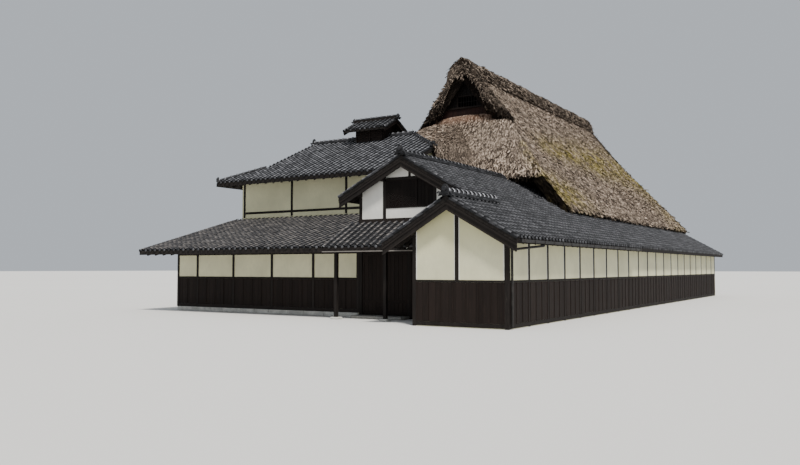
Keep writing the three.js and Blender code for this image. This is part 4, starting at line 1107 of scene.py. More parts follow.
def build_sill():
    """The last courses of the front slope, up to the foot of the gable opening."""
    sill = Thatch(17)
    profile = [(12.0, 8.1), (12.19, 8.44), (12.33, 8.67), (12.43, 8.8), (12.49, 8.83), (12.5, 8.2)]
    rings = []
    for x in np.linspace(-9.35, -6.05, 34):
        droop = 0.55 * (x - RIDGE_X) ** 4 / 1.65 ** 4
        lump = 0.04 * ripple(x * 2.3, 5.0, 1.0)
        rings.append([(x, y, z + (lump - droop * 0.5) * (z > 8.3)) for y, z in profile])
    rings = np.array(rings)
    sill.loft(rings[:, ::-1], False, -0.1, False)
    bases = sill.over(rings, 2600, 4)[0]
    down, out = unit((0, -1, -HIP_PITCH)), unit((0, -HIP_PITCH, 1))
    values = settings("thatch")
    sill.reeds(bases - down * 0.08, down, out, values.length, values.width, 0.35, (0.0, 0.05), (-0.3, 1.0))
    sill.piece("thatch_sill", "reed", "thatch")


def on_side(d, y, off):
    """A point off a side slope of the thatch, d metres from the ridge in plan and below zero on its left."""
    length = math.hypot(1, SIDE_PITCH)
    out = math.copysign(off, d) * SIDE_PITCH / length
    return np.array([RIDGE_X + d + out, y, RIDGE_Z - SIDE_PITCH * abs(d) + off / length])


def side_ways(points):
    """The ways down and out of the side slope that each point lies on."""
    hand, zero, one = np.sign(points[:, 0] - RIDGE_X), np.zeros(len(points)), np.ones(len(points))
    ways = np.stack([hand, zero, -SIDE_PITCH * one], -1), np.stack([hand * SIDE_PITCH, zero, one], -1)
    return [way / math.hypot(1, SIDE_PITCH) for way in ways]


def build_ridge_cover():
    """A ragged cap of old reed over the ridge, thick at its lower edges and wider over the gables."""
    cover = Thatch(21)
    chance = cover.chance
    right = [(0.2, 0.4), (0.39, 0.42), (0.56, 0.31), (0.62, 0.12), (0.5, -0.02)]
    section = [*[(-d, off) for d, off in reversed(right)], (0.0, 0.26), *right, (0.2, -0.04), (-0.2, -0.04)]
    stations = np.arange(GABLE_Y[0] - 0.2, GABLE_Y[1] + 0.22, 0.13)
    rings = []
    for y in stations:
        ends = math.exp(-((y - stations[0]) / 0.7) ** 2) + math.exp(-((y - stations[-1]) / 0.5) ** 2)
        sag = 0.05 * ripple(y * 0.5, 7.0, 1.0) + 0.04 * ripple(y * 2.3, 3.0, 1.0)
        ring = []
        for d, off in section:
            point = on_side(d * (1 + 0.3 * ends), y, 0.0)
            lump = 0.07 * ripple(d * 3.0, y * 2.2, 4.0) + 0.06 * ripple(d * 8, y * 6, 2.0)
            raised = off * (1 + 1.2 * ends * abs(d)) + sag + lump if off > 0 else off
            point[2] = min(point[2] + raised, 11.6)
            ring.append(point)
        rings.append(ring)
    rings = np.array(rings)
    cover.loft(rings, True, 0.12, True)
    bases = cover.over(rings, 13000, 9)[0]
    way, out = side_ways(bases)
    cover.reeds(bases - way * 0.1, way, out, 0.2, 0.05, 0.6, (0.0, 0.07), (-0.5, 1.2))
    for ring, facing in ((rings[0], -1.0), (rings[-1], 1.0)):
        i, j = chance.integers(0, len(section), (2, 700))
        share = chance.random((700, 2, 1)) * 0.5
        middle = ring.mean(0)
        bases = middle + (ring[i] - middle) * share[:, 0] + (ring[j] - middle) * share[:, 1]
        way = side_ways(bases)[0]
        cover.reeds(bases - way * 0.08, way, (0, facing, 0), 0.13, 0.045, 0.5, (0.0, 0.05), (-0.6, 0.8))
    for y in np.cumsum(chance.uniform(0.4, 0.75, 26)) + GABLE_Y[0] + 0.2:
        if y < GABLE_Y[1]:
            reach = chance.uniform(0.3, 0.5)
            route = [on_side(d, y + chance.normal(0, 0.03), 0.0) + np.array([0, 0, 0.3])
                     for d in np.linspace(-reach, reach, 7) + 1e-4]
            cover.tube(route, chance.uniform(0.03, 0.055), 7, chance.uniform(-0.2, 0.8))
    cover.piece("thatch_ridge", "old_and_shaded_reed", "thatch", replaces=["thatch_ridge_cover"])


# The arched opening of a gable: the x of its middle, the height of its top, its own height and half its width
OPENING_X, OPENING_TOP, OPENING_HEIGHT, OPENING_HALF = -7.72, 10.886, 1.936, 1.25


def arch(s):
    """Height of the arched edge of a gable opening, s from minus one at the left foot to one at the right."""
    return OPENING_TOP - OPENING_HEIGHT * abs(s) ** 1.9


def opening_edge(s, y):
    return np.array([OPENING_X + OPENING_HALF * s, y, arch(s)])


# The section of a verge roll: shares of the way from the opening to the slope, and depths behind the gable
ROLL = ((0.03, 0.26), (0.0, 0.02), (0.12, -0.1), (0.4, -0.17), (0.7, -0.15), (0.93, -0.06), (1.0, 0.08),
        (1.01, 0.3), (0.9, 0.5), (0.6, 0.5))


def verge_roll(name, edge, way, seed, proud):
    """The roll of reed that closes the thatch around a gable, from its arched edge to the slopes, in painted
    shade.
    """
    roll = Thatch(seed)
    steps = np.linspace(-1, 1, 41)
    rings = []
    for s in steps:
        foot = max(0.0, (abs(s) - 0.85) / 0.15)
        inner = opening_edge(s, edge)
        outer = on_side(2.4 * s if s else 1e-6, edge, proud if s > 0 else proud * 0.3)
        outer[2] = min(outer[2], 11.5)
        ring = []
        for share, depth in ROLL:
            point = inner + (outer - inner) * share
            point[1] = edge + way * depth * (1 - 0.4 * foot)
            lump = 0.05 * ripple(s * 5 + seed, share * 3, depth * 2)
            lump += 0.035 * ripple(s * 17 + seed, share * 9, depth * 6)
            swell = np.array([lump * (1 if s > 0 else -1), -way * abs(lump), lump])
            ring.append(point + swell * (depth < 0.2))
        rings.append(ring)
    rings = np.array(rings)
    # The roll is darkened as painted shade of the gable opening.
    roll.loft(rings if way > 0 else rings[:, ::-1], True, -0.3, True)
    bases, i = roll.over(rings, 6500, 8)
    out = bases - rings[i].mean(1)
    out /= np.linalg.norm(out, axis=1)[:, None]
    hand = np.sign(bases[:, 0] - RIDGE_X)
    fall = np.stack([hand, np.zeros(len(bases)), np.full(len(bases), -SIDE_PITCH * 1.1)], -1)
    fall -= out * (fall * out).sum(1)[:, None]
    fall /= np.linalg.norm(fall, axis=1)[:, None] + 1e-6
    near_foot = np.abs(steps[i]) > 0.8
    tips = bases + fall * 0.14
    clear = tips[:, 2] > arch((tips[:, 0] - OPENING_X) / OPENING_HALF)
    # The reeds near the feet of the roll are darkest, as painted shade.
    for part, tones in ((near_foot, (-0.9, 0.35)), (~near_foot & clear, (-0.4, 1.1))):
        roll.reeds((bases - fall * 0.06)[part], fall[part], out[part], 0.17, 0.045, 0.45, (-0.01, 0.06),
                   tones)
    roll.piece(name, "old_and_shaded_reed", "thatch")
    edging = Thatch(seed + 1)
    route = [opening_edge(s, edge - way * 0.02) for s in np.linspace(-1, 1, 33)]
    edging.tube(route, 0.04, 8, 1.1)
    edging.piece(name + "_edging", "old_and_shaded_reed", "thatch", smooth=True)


# Woodwork

# Faces of the walls: a point of each, the level direction along it, and the direction out of it
WALLS = {
    "bay": ((0, 0.015), (-1, 0), (0, -1)),
    "bay_left": ((-3.06, 0), (0, 1), (-1, 0)),
    "right": ((-0.015, 0), (0, 1), (1, 0)),
    "front": ((-6.65, 2.345), (-1, 0), (0, -1)),
    "back": ((-15.7, 30.885), (1, 0), (0, 1)),
    "left": ((-15.7, 0), (0, 1), (-1, 0)),
    "wing": ((-15.7, 6.0), (1, 0), (0, -1)),
    "entrance": ((-4.555, 2.345), (1, 0), (0, -1)),
}


def board_wall(boards, wall, start, end, low, high, battens=0.42):
    """Upright boards with cover strips on a wall. start and end are distances along it."""
    origin, along, out = (np.array([*v, 0.0]) for v in WALLS[wall])
    origin = origin + UP * (low + high) / 2
    axes = [UP, along, out]
    height, length = high - low, end - start
    middle = origin + along * (start + end) / 2 + out * 0.0012
    boards.block(middle, axes, [height - 0.01, length - 0.01, 0.003], 0.001, 0.0)
    count = max(1, round(length / settings("walls").board))
    width = length / count
    for i in range(count):
        middle = origin + along * (start + (i + 0.5) * width) + out * 0.006
        boards.block(middle, axes, [height - 0.002, width - 0.004, 0.01], 0.002)
    strips = max(1, round(length / battens))
    for i in range(strips + 1):
        place = min(max(start + i * length / strips, start + 0.014), end - 0.014)
        boards.block(origin + along * place + out * 0.018, axes, [height - 0.004, 0.028, 0.016], 0.003)


def board_bays(boards, wall, posts, low=BOARD_FOOT, high=BOARD_TOP, post=HALF_POST):
    """Boards in every bay between posts."""
    for first, last in zip(posts, posts[1:]):
        board_wall(boards, wall, first + post, last - post, low, high)


def wall_frame(timbers, wall, places, rails, low, high):
    """Posts and rails that stand a little proud of a plain wall."""
    origin, along, out = (np.array([*v, 0.0]) for v in WALLS[wall])
    for place in places:
        middle = origin + along * place + UP * (low + high) / 2
        timbers.block(middle, [UP, along, out], [high - low, 0.11, 0.04], 0.005)
    for bottom, top in rails:
        middle = origin + along * (places[0] + places[-1]) / 2 - out * 0.003 + UP * (bottom + top) / 2
        timbers.block(middle, [along, UP, out], [places[-1] - places[0], top - bottom, 0.04], 0.005)


def dress_solids():
    """Finishes of the walls, floors, frames and roof slabs that show as they are."""
    dress("clay", "bay_front_wall", "bay_left_wall", "right_wall", "front_wall", "left_wing_front_wall",
          "left_wing_inner_wall", "left_wing_back_wall", "left_wall", "back_wall")
    dress("lime", "upper_front_wall", "upper_left_wall", "entrance_over_wall")
    dress("floor", "ground_floor", "upper_floor")
    dress("planks_solid", "entrance_side_wall", "left_wing_gable", "smoke_vent_body", "main_front_wall")
    # The gable boards are sooty and carry painted shade for the deep openings.
    dress("painted_shade", "front_gable_boards", "back_gable_boards")
    dress("timber_solid", "bay_frame", "bay_bargeboards", "right_wall_frame", "upper_frame",
          "upper_bargeboards", "door_jamb_left", "door_jamb_right", "door_sill", "door_lintel", "pent_frame",
          "main_right_frame", "main_left_frame")
    dress("metal", "gutter")
    dress("deck", *[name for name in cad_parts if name.endswith(("_roof", "_hip"))])


def build_walls():
    """The boards and timbers on the walls, with pale edges of plaster along the posts."""
    bay, side, west = Stock(31), Stock(32), Stock(33)
    board_wall(bay, "bay", 0.122, 2.953, BOARD_FOOT, BOARD_TOP)
    bay.piece("bay_boards", "planks", "board")
    inner_posts = [n * SIDE_BAY for n in range(1, 21)]
    board_bays(side, "right", [0.06, *inner_posts, 30.822], post=0.062)
    side.piece("right_boards", "planks", "board")
    board_wall(west, "bay_left", 0.125, 2.32, 0.02, 2.2)
    west.piece("bay_left_boards", "planks", "board")

    timbers = Stock(35)
    lower_rails = [(0.02, 0.14), (1.29, 1.35), (2.3, 2.42)]
    for wall, seed, first, count, last, rails, foot, top, board_foot, board_top in (
        ("front", 34, 0.06, 5, 9.05, [(0.15, 0.27), (1.29, 1.36), (2.2, 2.32)], 0.15, 2.7, 0.27, 1.29),
        ("back", 36, 0.06, 8, 15.64, lower_rails, 0.0, 2.5, BOARD_FOOT, BOARD_TOP),
        ("left", 37, 2.39, 15, 30.84, lower_rails, 0.0, 2.5, BOARD_FOOT, BOARD_TOP),
    ):
        boards = Stock(seed)
        posts = [first + KEN * n for n in range(count)] + [last]
        wall_frame(timbers, wall, posts, rails, foot, top)
        board_bays(boards, wall, posts, board_foot, board_top)
        boards.piece(wall + "_boards", "planks", "board")
    wall_frame(timbers, "wing", [0.14, 2.9, 5.8, 8.6], [(4.1, 4.2)], 3.95, 5.65)
    wall_frame(timbers, "left", [6.33, 8.3, 10.27, 12.24, 14.21], [(4.2, 4.32)], 2.42, 5.7)
    for place in np.arange(2.03, 15.0, KEN):
        top = min(3.9, gable_height(place - 15.7, "left_aisle") - 0.25)
        wall_frame(timbers, "back", [place], [], 2.4, top)
    timbers.piece("wall_timbers", "timber", "timber")

    edges = Stock(39)
    for x in (-2.94, -1.675, -1.525, -0.135):
        top = gable_height(x, "bay_left") - 0.3
        edges.bar((x - 0.014, 0.008, 1.36), (x + 0.014, 0.02, top), 2, 0.003, 0.8)
    for post in inner_posts:
        for y in (post - 0.078, post + 0.078):
            edges.bar((-0.02, y - 0.013, 1.36), (-0.008, y + 0.013, 2.39), 2, 0.003, 0.8)
    for x in (-6.51, -5.68, -5.525, -3.555, -2.2):
        top = max(gable_height(x, "upper_left") - 0.3, 3.5)
        edges.bar((x - 0.013, 2.338, 3.38), (x + 0.013, 2.35, top), 2, 0.003, 0.8)
    edges.piece("plaster_edges", "lime", "white_plaster")
    beam = Stock(40)
    beam.bar((-6.66, 2.3, 3.2), (-2.75, 2.345, 3.375), 0, 0.008, 0.9)
    beam.piece("upper_foot_beam", "timber", "timber")

    end_boards = Stock(42)
    for y in np.arange(2.35, 5.95, 0.2):
        top = SLOPES["lean_to"].height(0, y) - 0.18
        end_boards.bar((-15.69, y + 0.002, 2.3), (-15.665, y + 0.198, top), 2, 0.003)
    end_boards.piece("lean_to_end_boards", "planks", "board")

    panel = Stock(38)
    board_wall(panel, "entrance", 0.0, 1.48, 0.02, 3.1, 0.5)
    wall_frame(panel, "entrance", [0.0, 1.44], [(0.02, 0.12), (2.24, 2.34)], 0.02, 3.15)
    panel.piece("entrance_side_boards", "planks", "board")


def node_box(node):
    """The lowest and the highest corner of a solid, from the corner of the bay."""
    return [np.array(corner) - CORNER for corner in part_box(node)]


def door_leaf(name, node, body, seed):
    """A sliding door: stiles and rails with upright boards and thin cover strips between them."""
    (x0, y0, z0), (x1, y1, z1) = node_box(node)
    leaf = Stock(seed)
    stile, kick, count = 0.085, z0 + 0.42, 5
    for x in (x0, x1 - stile):
        leaf.bar((x, y0, z0), (x + stile, y1, z1), 2, 0.004, 0.3)
    for bottom, top in ((z0, z0 + 0.13), (kick, kick + 0.09), (z1 - 0.12, z1)):
        leaf.bar((x0 + stile, y0 + 0.002, bottom), (x1 - stile, y1 - 0.002, top), 0, 0.003, 0.3)
    width = (x1 - x0 - 2 * stile) / count
    for i in range(count):
        x = x0 + stile + i * width
        for bottom, top in ((z0 + 0.13, kick), (kick + 0.09, z1 - 0.12)):
            leaf.bar((x + 0.0015, y0 + 0.01, bottom), (x + width - 0.0015, y1 - 0.008, top), 2, 0.002)
            if i:
                leaf.bar((x - 0.009, y0 + 0.003, bottom), (x + 0.009, y0 + 0.011, top), 2, 0.002)
    leaf.piece(name, "door", "board", body, replaces=[node])
    pull = Stock(seed + 1)
    middle = np.array([x1 - stile / 2 if body == "left_leaf" else x0 + stile / 2, y0 - 0.001, 1.0])
    oval = circle(np.linspace(0, 2 * math.pi, 16, endpoint=False), np.array([1.0, 0, 0]), UP * 1.5)
    rings = [middle + np.array([0, out, 0]) + radius * oval[::-1] for radius, out in (
        (0.031, 0.001), (0.031, -0.003), (0.025, -0.003), (0.022, 0.004), (0.002, 0.005))]
    pull.loft(rings, True, 0.5)
    pull.piece(name + "_pull", "metal", "gutter_metal", body, smooth=True)


def build_shutters():
    """Two panels of narrow upright boards in the upper window, with a thin frame."""
    (x0, y0, z0), (x1, _, z1) = node_box("upper_shutters")
    shutters = Stock(51)
    middle = x0 + (x1 - x0) * 0.66
    stile, rail = 0.045, 0.05
    for start, end, depth, width in ((x0, middle + 0.02, 0.0, 0.055), (middle - 0.02, x1, 0.018, 0.13)):
        near, far = y0 + depth, y0 + depth + 0.018
        for x in (start, end - stile):
            shutters.bar((x, near, z0), (x + stile, far, z1), 2, 0.003, 0.4)
        for bottom, top in ((z0, z0 + rail), (z1 - rail, z1)):
            shutters.bar((start + stile, near, bottom), (end - stile, far, top), 0, 0.003, 0.4)
        count = round((end - start - 2 * stile) / width)
        step = (end - start - 2 * stile) / count
        for i in range(count):
            x = start + stile + i * step
            shutters.bar((x + 0.003, near + 0.004, z0 + rail), (x + step - 0.003, far - 0.003, z1 - rail), 2,
                         0.002)
    shutters.piece("window_shutters", "dark_planks", "board", replaces=["upper_shutters"])


# How far the middle of a rafter lies under the plane of the tiles
RAFTER_DROP = 0.16 / math.hypot(1, 0.5) + 0.038


def build_eaves():
    """Rafters under the eaves, the trims of the gable boards and the ends of the purlins."""
    rafters = Stock(61)
    for name, first, last, inner in (
        ("right", (RIGHT_EAVE, -0.2), (RIGHT_EAVE, 31.2), 0.42),
        ("bay_left", (BAY_EAVE, -0.2), (BAY_EAVE, 0.85), 0.9),
        ("upper_left", (UPPER_EAVE, 2.1), (UPPER_EAVE, 5.9), 0.7),
        ("wing_front", (-16.0, WING_FRONT), (-6.9, WING_FRONT), 0.82),
        ("wing_end", (WING_END, 5.6), (WING_END, 14.8), 0.85),
        ("wing_back", (-16.0, WING_BACK), (-12.8, WING_BACK), 0.82),
        ("left_aisle", (LEFT_EAVE, 14.5), (LEFT_EAVE, 31.2), 0.42),
        ("lean_to", (-16.0, FRONT_EAVE), (-7.1, FRONT_EAVE), 1.64),
        ("pent", (-6.9, FRONT_EAVE), (-4.0, FRONT_EAVE), 1.0),
    ):
        slope = SLOPES[name]
        outer, drop = (0.04, 0.14) if name == "pent" else (0.05, RAFTER_DROP)
        start, end = sorted(slope.plan([first, last])[:, 0])
        for a in np.arange(start + 0.1, end, 0.45):
            rafters.beam(slope.at(a, outer, -drop), slope.at(a, inner, -drop), 0.055, 0.075, slope.normal)
    rafters.piece("rafters", "timber", "timber")

    trims = Stock(62)
    for slope, verge, apex, low_end in (
        ("bay_left", BAY_VERGE, BAY_X, -3.947), ("right", BAY_VERGE, BAY_X, 0.375),
        ("upper_left", UPPER_VERGE, UPPER_X, -7.308), ("right", UPPER_VERGE, UPPER_X, -2.2),
    ):
        for y, drop, width, height in (
            (verge - 0.012, 0.19, 0.05, 0.055), (verge - 0.002, 0.368, 0.03, 0.04),
        ):
            start, end = ((x, y + width / 2, SLOPES[slope].height(x, y) - drop - height / 2)
                          for x in (low_end, apex))
            trims.beam(start, end, width, height)
    for left, places, half, near, far, low, high in (
        ("bay_left", (-3.015, -1.776, -0.06), 0.06, -0.245, 0.0, 0.37, 0.19),
        ("upper_left", (-6.587, -5.602, -4.771, -3.632, -2.9), 0.07, 2.09, 2.33, 0.4, 0.2),
    ):
        for x in places:
            top = gable_height(x, left)
            trims.bar((x - half, near, top - low), (x + half, far, top - high), 1, 0.006)
    trims.piece("gable_trims", "timber", "timber")

    eave = Stock(66)
    eave.bar((-7.0, 0.685, 2.215), (-3.08, 0.715, 2.25), 0, 0.004)
    pent = SLOPES["pent"]
    for y in (0.82, 1.03, 1.24):
        eave.block((-3.365, y, pent.height(0, y) - 0.035), [(1.0, 0, 0), pent.rise, pent.normal],
                   [0.57, 0.195, 0.02], 0.004)
    eave.piece("pent_eave_boards", "grey_wood", "board")


def build_gable():
    """The window frame, sill bar and cover strips of the gable in the thatch, front and back."""
    foot, sill, head = 7.9, 9.22, 9.84
    for name, y, out in (("front_gable_trim", 12.498, -1), ("back_gable_trim", 28.51, 1)):
        trim = Stock(63)
        y0, y1 = sorted((y, y + out * 0.03))
        for x in np.arange(RIDGE_X - 2.2, RIDGE_X + 2.3, 0.22):
            top = RIDGE_Z - 0.75 - SIDE_PITCH * abs(x - RIDGE_X)
            if out < 0 and -8.2 < x < -7.05:
                spans = [(foot, sill), (head, top)] if top > 9.9 else [(foot, sill)]
            else:
                spans = [(foot, top)] if top > 8.2 else []
            for low, high in spans:
                trim.bar((x - 0.012, y0 + 0.008, low), (x + 0.012, y1, high), 2, 0.003)
        if out < 0:
            for x in (-8.15, -7.1):
                trim.bar((x - 0.03, y0 - 0.01, sill), (x + 0.03, y1, head), 2, 0.004)
            trim.bar((-8.22, y0 - 0.015, 9.77), (-7.03, y1, head), 0, 0.004)
            trim.bar((-8.8, y0 - 0.05, 9.2), (-6.55, y1, 9.28), 0, 0.006, 0.95)
            low_boards = Stock(64)
            for x in np.arange(-9.2, -6.2, 0.2):
                low_boards.bar((x + 0.003, y0 + 0.002, 8.2), (x + 0.197, y0 + 0.014, 9.2), 2, 0.003)
            low_boards.piece("gable_low_boards", "red", "board")
        trim.piece(name, "dark_planks", "board")


def build_wing_gable():
    """Cover strips on the gable of the wing and the boards under its verges."""
    (x0, y0, z0), high = node_box("left_wing_gable")
    strips = Stock(65)
    front = SLOPES["wing_front"]
    for y in np.arange(y0 + 0.12, high[1], 0.24):
        top = front.height(0, WING_Y - abs(y - WING_Y)) - 0.25
        if top > z0 + 0.2:
            strips.bar((x0 - 0.014, y - 0.014, z0), (x0 + 0.002, y + 0.014, top), 2, 0.003)
    x, reach, drop = x0 - 0.03, 3.1, 0.11
    bottom = front.height(0, WING_Y - reach) - drop
    for y in (WING_Y - reach, WING_Y + reach):
        strips.beam((x, y, bottom), (x, WING_Y, WING_Z - drop), 0.035, 0.17)
    strips.piece("wing_gable_strips", "dark_planks", "board")


def build_stonework():
    """The entrance step in two stones, and the stones under the front wall and the porch posts."""
    (x0, y0, _), (x1, y1, z1) = node_box("door_step")
    step = Stock(71)
    width = (x1 - x0) / 2
    for i in range(2):
        step.bar((x0 + i * width + 0.004, y0, 0.0), (x0 + (i + 1) * width - 0.004, y1, z1), 0, 0.02, 0.5)
    step.piece("entrance_step", "stone", "stone", replaces=["door_step"])
    blocks = Stock(72)
    x = -6.66
    while x > -15.6:
        length = blocks.chance.uniform(0.5, 0.95)
        blocks.bar((max(x - length, -15.68), 2.3, 0.0), (x - 0.008, 2.36, 0.148), 0, 0.012)
        x -= length
    for x in (-6.73, -4.77):
        blocks.bar((x - 0.15, 0.98, 0.0), (x + 0.15, 1.28, 0.07), 0, 0.025)
    blocks.piece("sill_stones", "pale_stone", "stone")


def build_gutter():
    """Straps around the gutter, and rings around its pipe."""
    brackets = Stock(81)
    strap = [(0.33, 2.5), (0.385, 2.47), (0.39, 2.385), (0.45, 2.378), (0.506, 2.39), (0.512, 2.48)]
    for y in np.arange(0.0, 11.9, 0.74):
        brackets.tube([(x, y, z) for x, z in strap], 0.007, 6, 0.3)
    ring = [(-0.01, 0.15), (0.05, 0.105), (0.095, 0.15), (0.05, 0.195), (-0.01, 0.15)]
    for z in (0.6, 1.5):
        brackets.tube([(x, y, z) for x, y in ring], 0.006, 6, 0.3)
    brackets.piece("gutter_brackets", "metal", "gutter_metal", smooth=True)


def build_tiles():
    """A piece of tiles for each tiled surface."""
    for seed, (name, (slope, regions)) in enumerate(TILED.items()):
        stock = Stock(100 + seed)
        for region in regions:
            lay_tiles(stock, SLOPES[slope], region)
        stock.piece(name, TILE_LOOKS.get(slope, "tile"), "tile", smooth=True)


def build_tile_edges():
    """Round ends along every eave, up to where the upper one meets the wing, and edge tiles up the verges."""
    discs = Stock(91)
    for name in dict.fromkeys(slope for slope, _ in TILED.values()):
        a, s = np.vstack([SLOPES[name].plan(plan) for plan in plans_on(name)]).T
        eave = a[np.abs(s) < 1e-6]
        eave_discs(discs, SLOPES[name], eave.min(), WING_FRONT if name == "upper_left" else eave.max())
    discs.piece("eave_ends", "tile", "tile", smooth=True)

    edges = Stock(92)
    for slope, point, length in (
        ("bay_left", (0, BAY_VERGE), 2.19), ("right", (0, BAY_VERGE), 2.17),
        ("upper_left", (0, UPPER_VERGE), 2.55),
        ("vent_front", (VENT_ENDS[0], 0), 0.95), ("vent_back", (VENT_ENDS[0], 0), 0.95),
        ("vent_front", (VENT_ENDS[1], 0), 0.95), ("vent_back", (VENT_ENDS[1], 0), 0.95),
        ("right", (0, BACK_VERGE), 3.1), ("left_aisle", (0, BACK_VERGE), 3.4),
        ("lean_to", (LEFT_EAVE, 0), 5.2), ("pent", (-7.0, 0), 1.6),
    ):
        surface = SLOPES[slope]
        middle = np.mean([surface.plan(plan)[:, 0].mean() for plan in plans_on(slope)])
        side = 1 if surface.plan([point])[0, 0] > middle else -1
        verge_tiles(edges, surface, point, length, side)
    right = SLOPES["right"]
    upper = Slope((BAY_X, 0, right.height(BAY_X, 0)), (-1, 0), right.pitch)
    verge_tiles(edges, upper, (0, UPPER_VERGE), 2.98, 1)
    edges.piece("verge_tiles", "tile", "tile")


def build_ridges():
    """The three main ridges, the hips and verges of the wing, and two short ridges."""
    for name, node, start, end, facing, cap, look in (
        ("bay", "bay_ridge", (BAY_X, -0.3, BAY_Z), (BAY_X, 3.06, BAY_Z + 0.02), (0, -1), 0.09, "cap"),
        ("upper", "upper_ridge", (UPPER_X, 2.04, UPPER_Z), (UPPER_X, 10.2, UPPER_Z), (0, -1), 0.07, "tile"),
        ("wing", "left_wing_ridge", (WING_VERGE, WING_Y, WING_Z), (-9.2, WING_Y, WING_Z), (-1, 0), 0.07,
         "tile"),
    ):
        ridge, caps = Stock(95), Stock(96)
        ridge_tiles(ridge, caps, start, end, cap=cap)
        ridge_end(ridge, np.array(start) + UP * 0.05, facing)
        ridge.piece(name + "_ridge_tiles", "tile", "tile", replaces=[node])
        caps.piece(name + "_ridge_caps", look, "tile", smooth=True)
    hips, caps = Stock(97), Stock(98)
    for start, end in (
        ((-16.45, 5.28, 5.54), (-14.95, 6.78, 6.22)), ((-16.45, 15.12, 5.54), (-14.95, 13.62, 6.22)),
        ((-6.85, 7.85, 6.7), (-9.2, 10.2, 7.76)), ((-7.4, 12.0, 6.94), (-9.2, 10.2, 7.76)),
    ):
        ridge_tiles(hips, caps, start, end, 2, 0.11, 0.06)
        ridge_end(hips, np.array(start) + UP * 0.03, np.array(start[:2]) - np.array(end[:2]), 0.13)
    for y in (WING_Y - 3.3, WING_Y + 3.3):
        ridge_tiles(hips, caps, (-14.84, y, 6.28), (-14.84, WING_Y, 7.76), 1, 0.1, 0.055)
    vent_ridge = ((-12.45, WING_Y), (-10.08, WING_Y))
    ridge_tiles(hips, caps, (*vent_ridge[0], 8.7), (*vent_ridge[1], 8.7), 1, 0.1, 0.06)
    for end, facing in zip(vent_ridge, ((-1, 0), (1, 0))):
        ridge_end(hips, (*end, 8.62), facing, 0.13)
    ridge_tiles(hips, caps, (-3.06, 9.5, 4.5), (-2.9, 12.35, 4.41), 1, 0.12, 0.055)
    hips.piece("hip_tiles", "tile", "tile")
    caps.piece("hip_caps", "tile", "tile", smooth=True)


def build_vent():
    """Slatted sides of the smoke vent and the boards under its roof."""
    slats = Stock(99)
    for y, way in ((9.65, -1), (10.75, 1)):
        for z in np.arange(7.72, 8.15, 0.1):
            slats.bar((-12.0, y + way * 0.002, z), (-10.5, y + way * 0.03, z + 0.045), 0, 0.004)
        for x in (-12.0, -11.25, -10.56):
            slats.bar((x, y + way * 0.002, 7.6), (x + 0.06, y + way * 0.045, 8.2), 2, 0.004)
    for x, way in ((-12.0, -1), (-10.5, 1)):
        for y in (9.65, 10.17, 10.69):
            slats.bar((x + way * 0.002, y, 7.7), (x + way * 0.04, y + 0.06, 8.2), 2, 0.004)
    for x in (-12.4, -10.15):
        for way in (-1, 1):
            slats.beam((x, WING_Y + way * 0.99, 7.93), (x, WING_Y, 8.45), 0.03, 0.12)
    slats.piece("vent_slats", "planks", "board")


def build_stage():
    """The floor, the camera, one sun and an even sky."""
    stage = settings("stage")
    scene = bpy.context.scene

    def put(name, data):
        made = bpy.data.objects.new(name, data)
        scene.collection.objects.link(made)
        return made

    floor = bpy.data.meshes.new("floor")
    size = 400.0
    corners = [(x, y, 0) for x, y in box_plan(-size, size, -size, size)]
    floor.from_pydata(corners, [], [(0, 1, 2, 3)])
    plane = put("floor", floor)
    plane.location.z = -0.002
    look = Finish("floor_paint", 0.95)
    cloud = look.noise(look.place(), 0.05, 2)
    floor.materials.append(look.paint(look.blend(cloud, shade(stage.floor, 0.97), shade(stage.floor, 1.03))))

    camera = bpy.data.cameras.new("camera")
    camera.lens = stage.lens
    camera.sensor_width = 36
    camera.clip_end = 1000
    viewer = put("camera", camera)
    viewer.location = (16.638, -35.008, 1.687)
    viewer.rotation_euler = (math.radians(92.687), 0, math.radians(32.187))
    scene.camera = viewer

    sun = bpy.data.lights.new("sun", "SUN")
    sun.energy = stage.sun
    sun.angle = math.radians(9)
    sun.color = (1.0, 0.965, 0.9)
    put("sun", sun).rotation_euler = Vector((0.5, -0.42, 1.0)).to_track_quat("Z", "Y").to_euler()
    scene.world = scene.world or bpy.data.worlds.new("sky")
    scene.world.use_nodes = True
    sky = scene.world.node_tree.nodes["Background"]
    sky.inputs["Color"].default_value = (0.86, 0.92, 1.0, 1.0)
    sky.inputs["Strength"].default_value = stage.sky


# Operators

class FARMHOUSE_OT_walls(bpy.types.Operator):
    """Finish the walls, posts and floors and board the lower walls"""

    bl_idname = "farmhouse.walls"
    bl_label = "Walls and Boards"

    def execute(self, context):
        dress_solids()
        build_walls()
        return {"FINISHED"}


class FARMHOUSE_OT_doors(bpy.types.Operator):
    """Build the two sliding leaves of the entrance"""

    bl_idname = "farmhouse.doors"
    bl_label = "Entrance Doors"

    def execute(self, context):
        door_leaf("left_door", "entrance_door_left", "left_leaf", 41)
        door_leaf("right_door", "entrance_door_right", "right_leaf", 43)
        return {"FINISHED"}


class FARMHOUSE_OT_shutters(bpy.types.Operator):
    """Build the boards of the upper window"""

    bl_idname = "farmhouse.shutters"
    bl_label = "Upper Shutters"

    def execute(self, context):
        build_shutters()
        return {"FINISHED"}


class FARMHOUSE_OT_tiles(bpy.types.Operator):
    """Lay the tiles of every roof slope"""

    bl_idname = "farmhouse.tiles"
    bl_label = "Roof Tiles"

    def execute(self, context):
        build_tiles()
        return {"FINISHED"}


class FARMHOUSE_OT_tile_edges(bpy.types.Operator):
    """Add the round eave ends and the verge tiles"""

    bl_idname = "farmhouse.tile_edges"
    bl_label = "Eave and Verge Tiles"

    def execute(self, context):
        build_tile_edges()
        return {"FINISHED"}


class FARMHOUSE_OT_ridges(bpy.types.Operator):
    """Stack the ridges and hips and set their end tiles"""

    bl_idname = "farmhouse.ridges"
    bl_label = "Tiled Ridges"

    def execute(self, context):
        build_ridges()
        return {"FINISHED"}


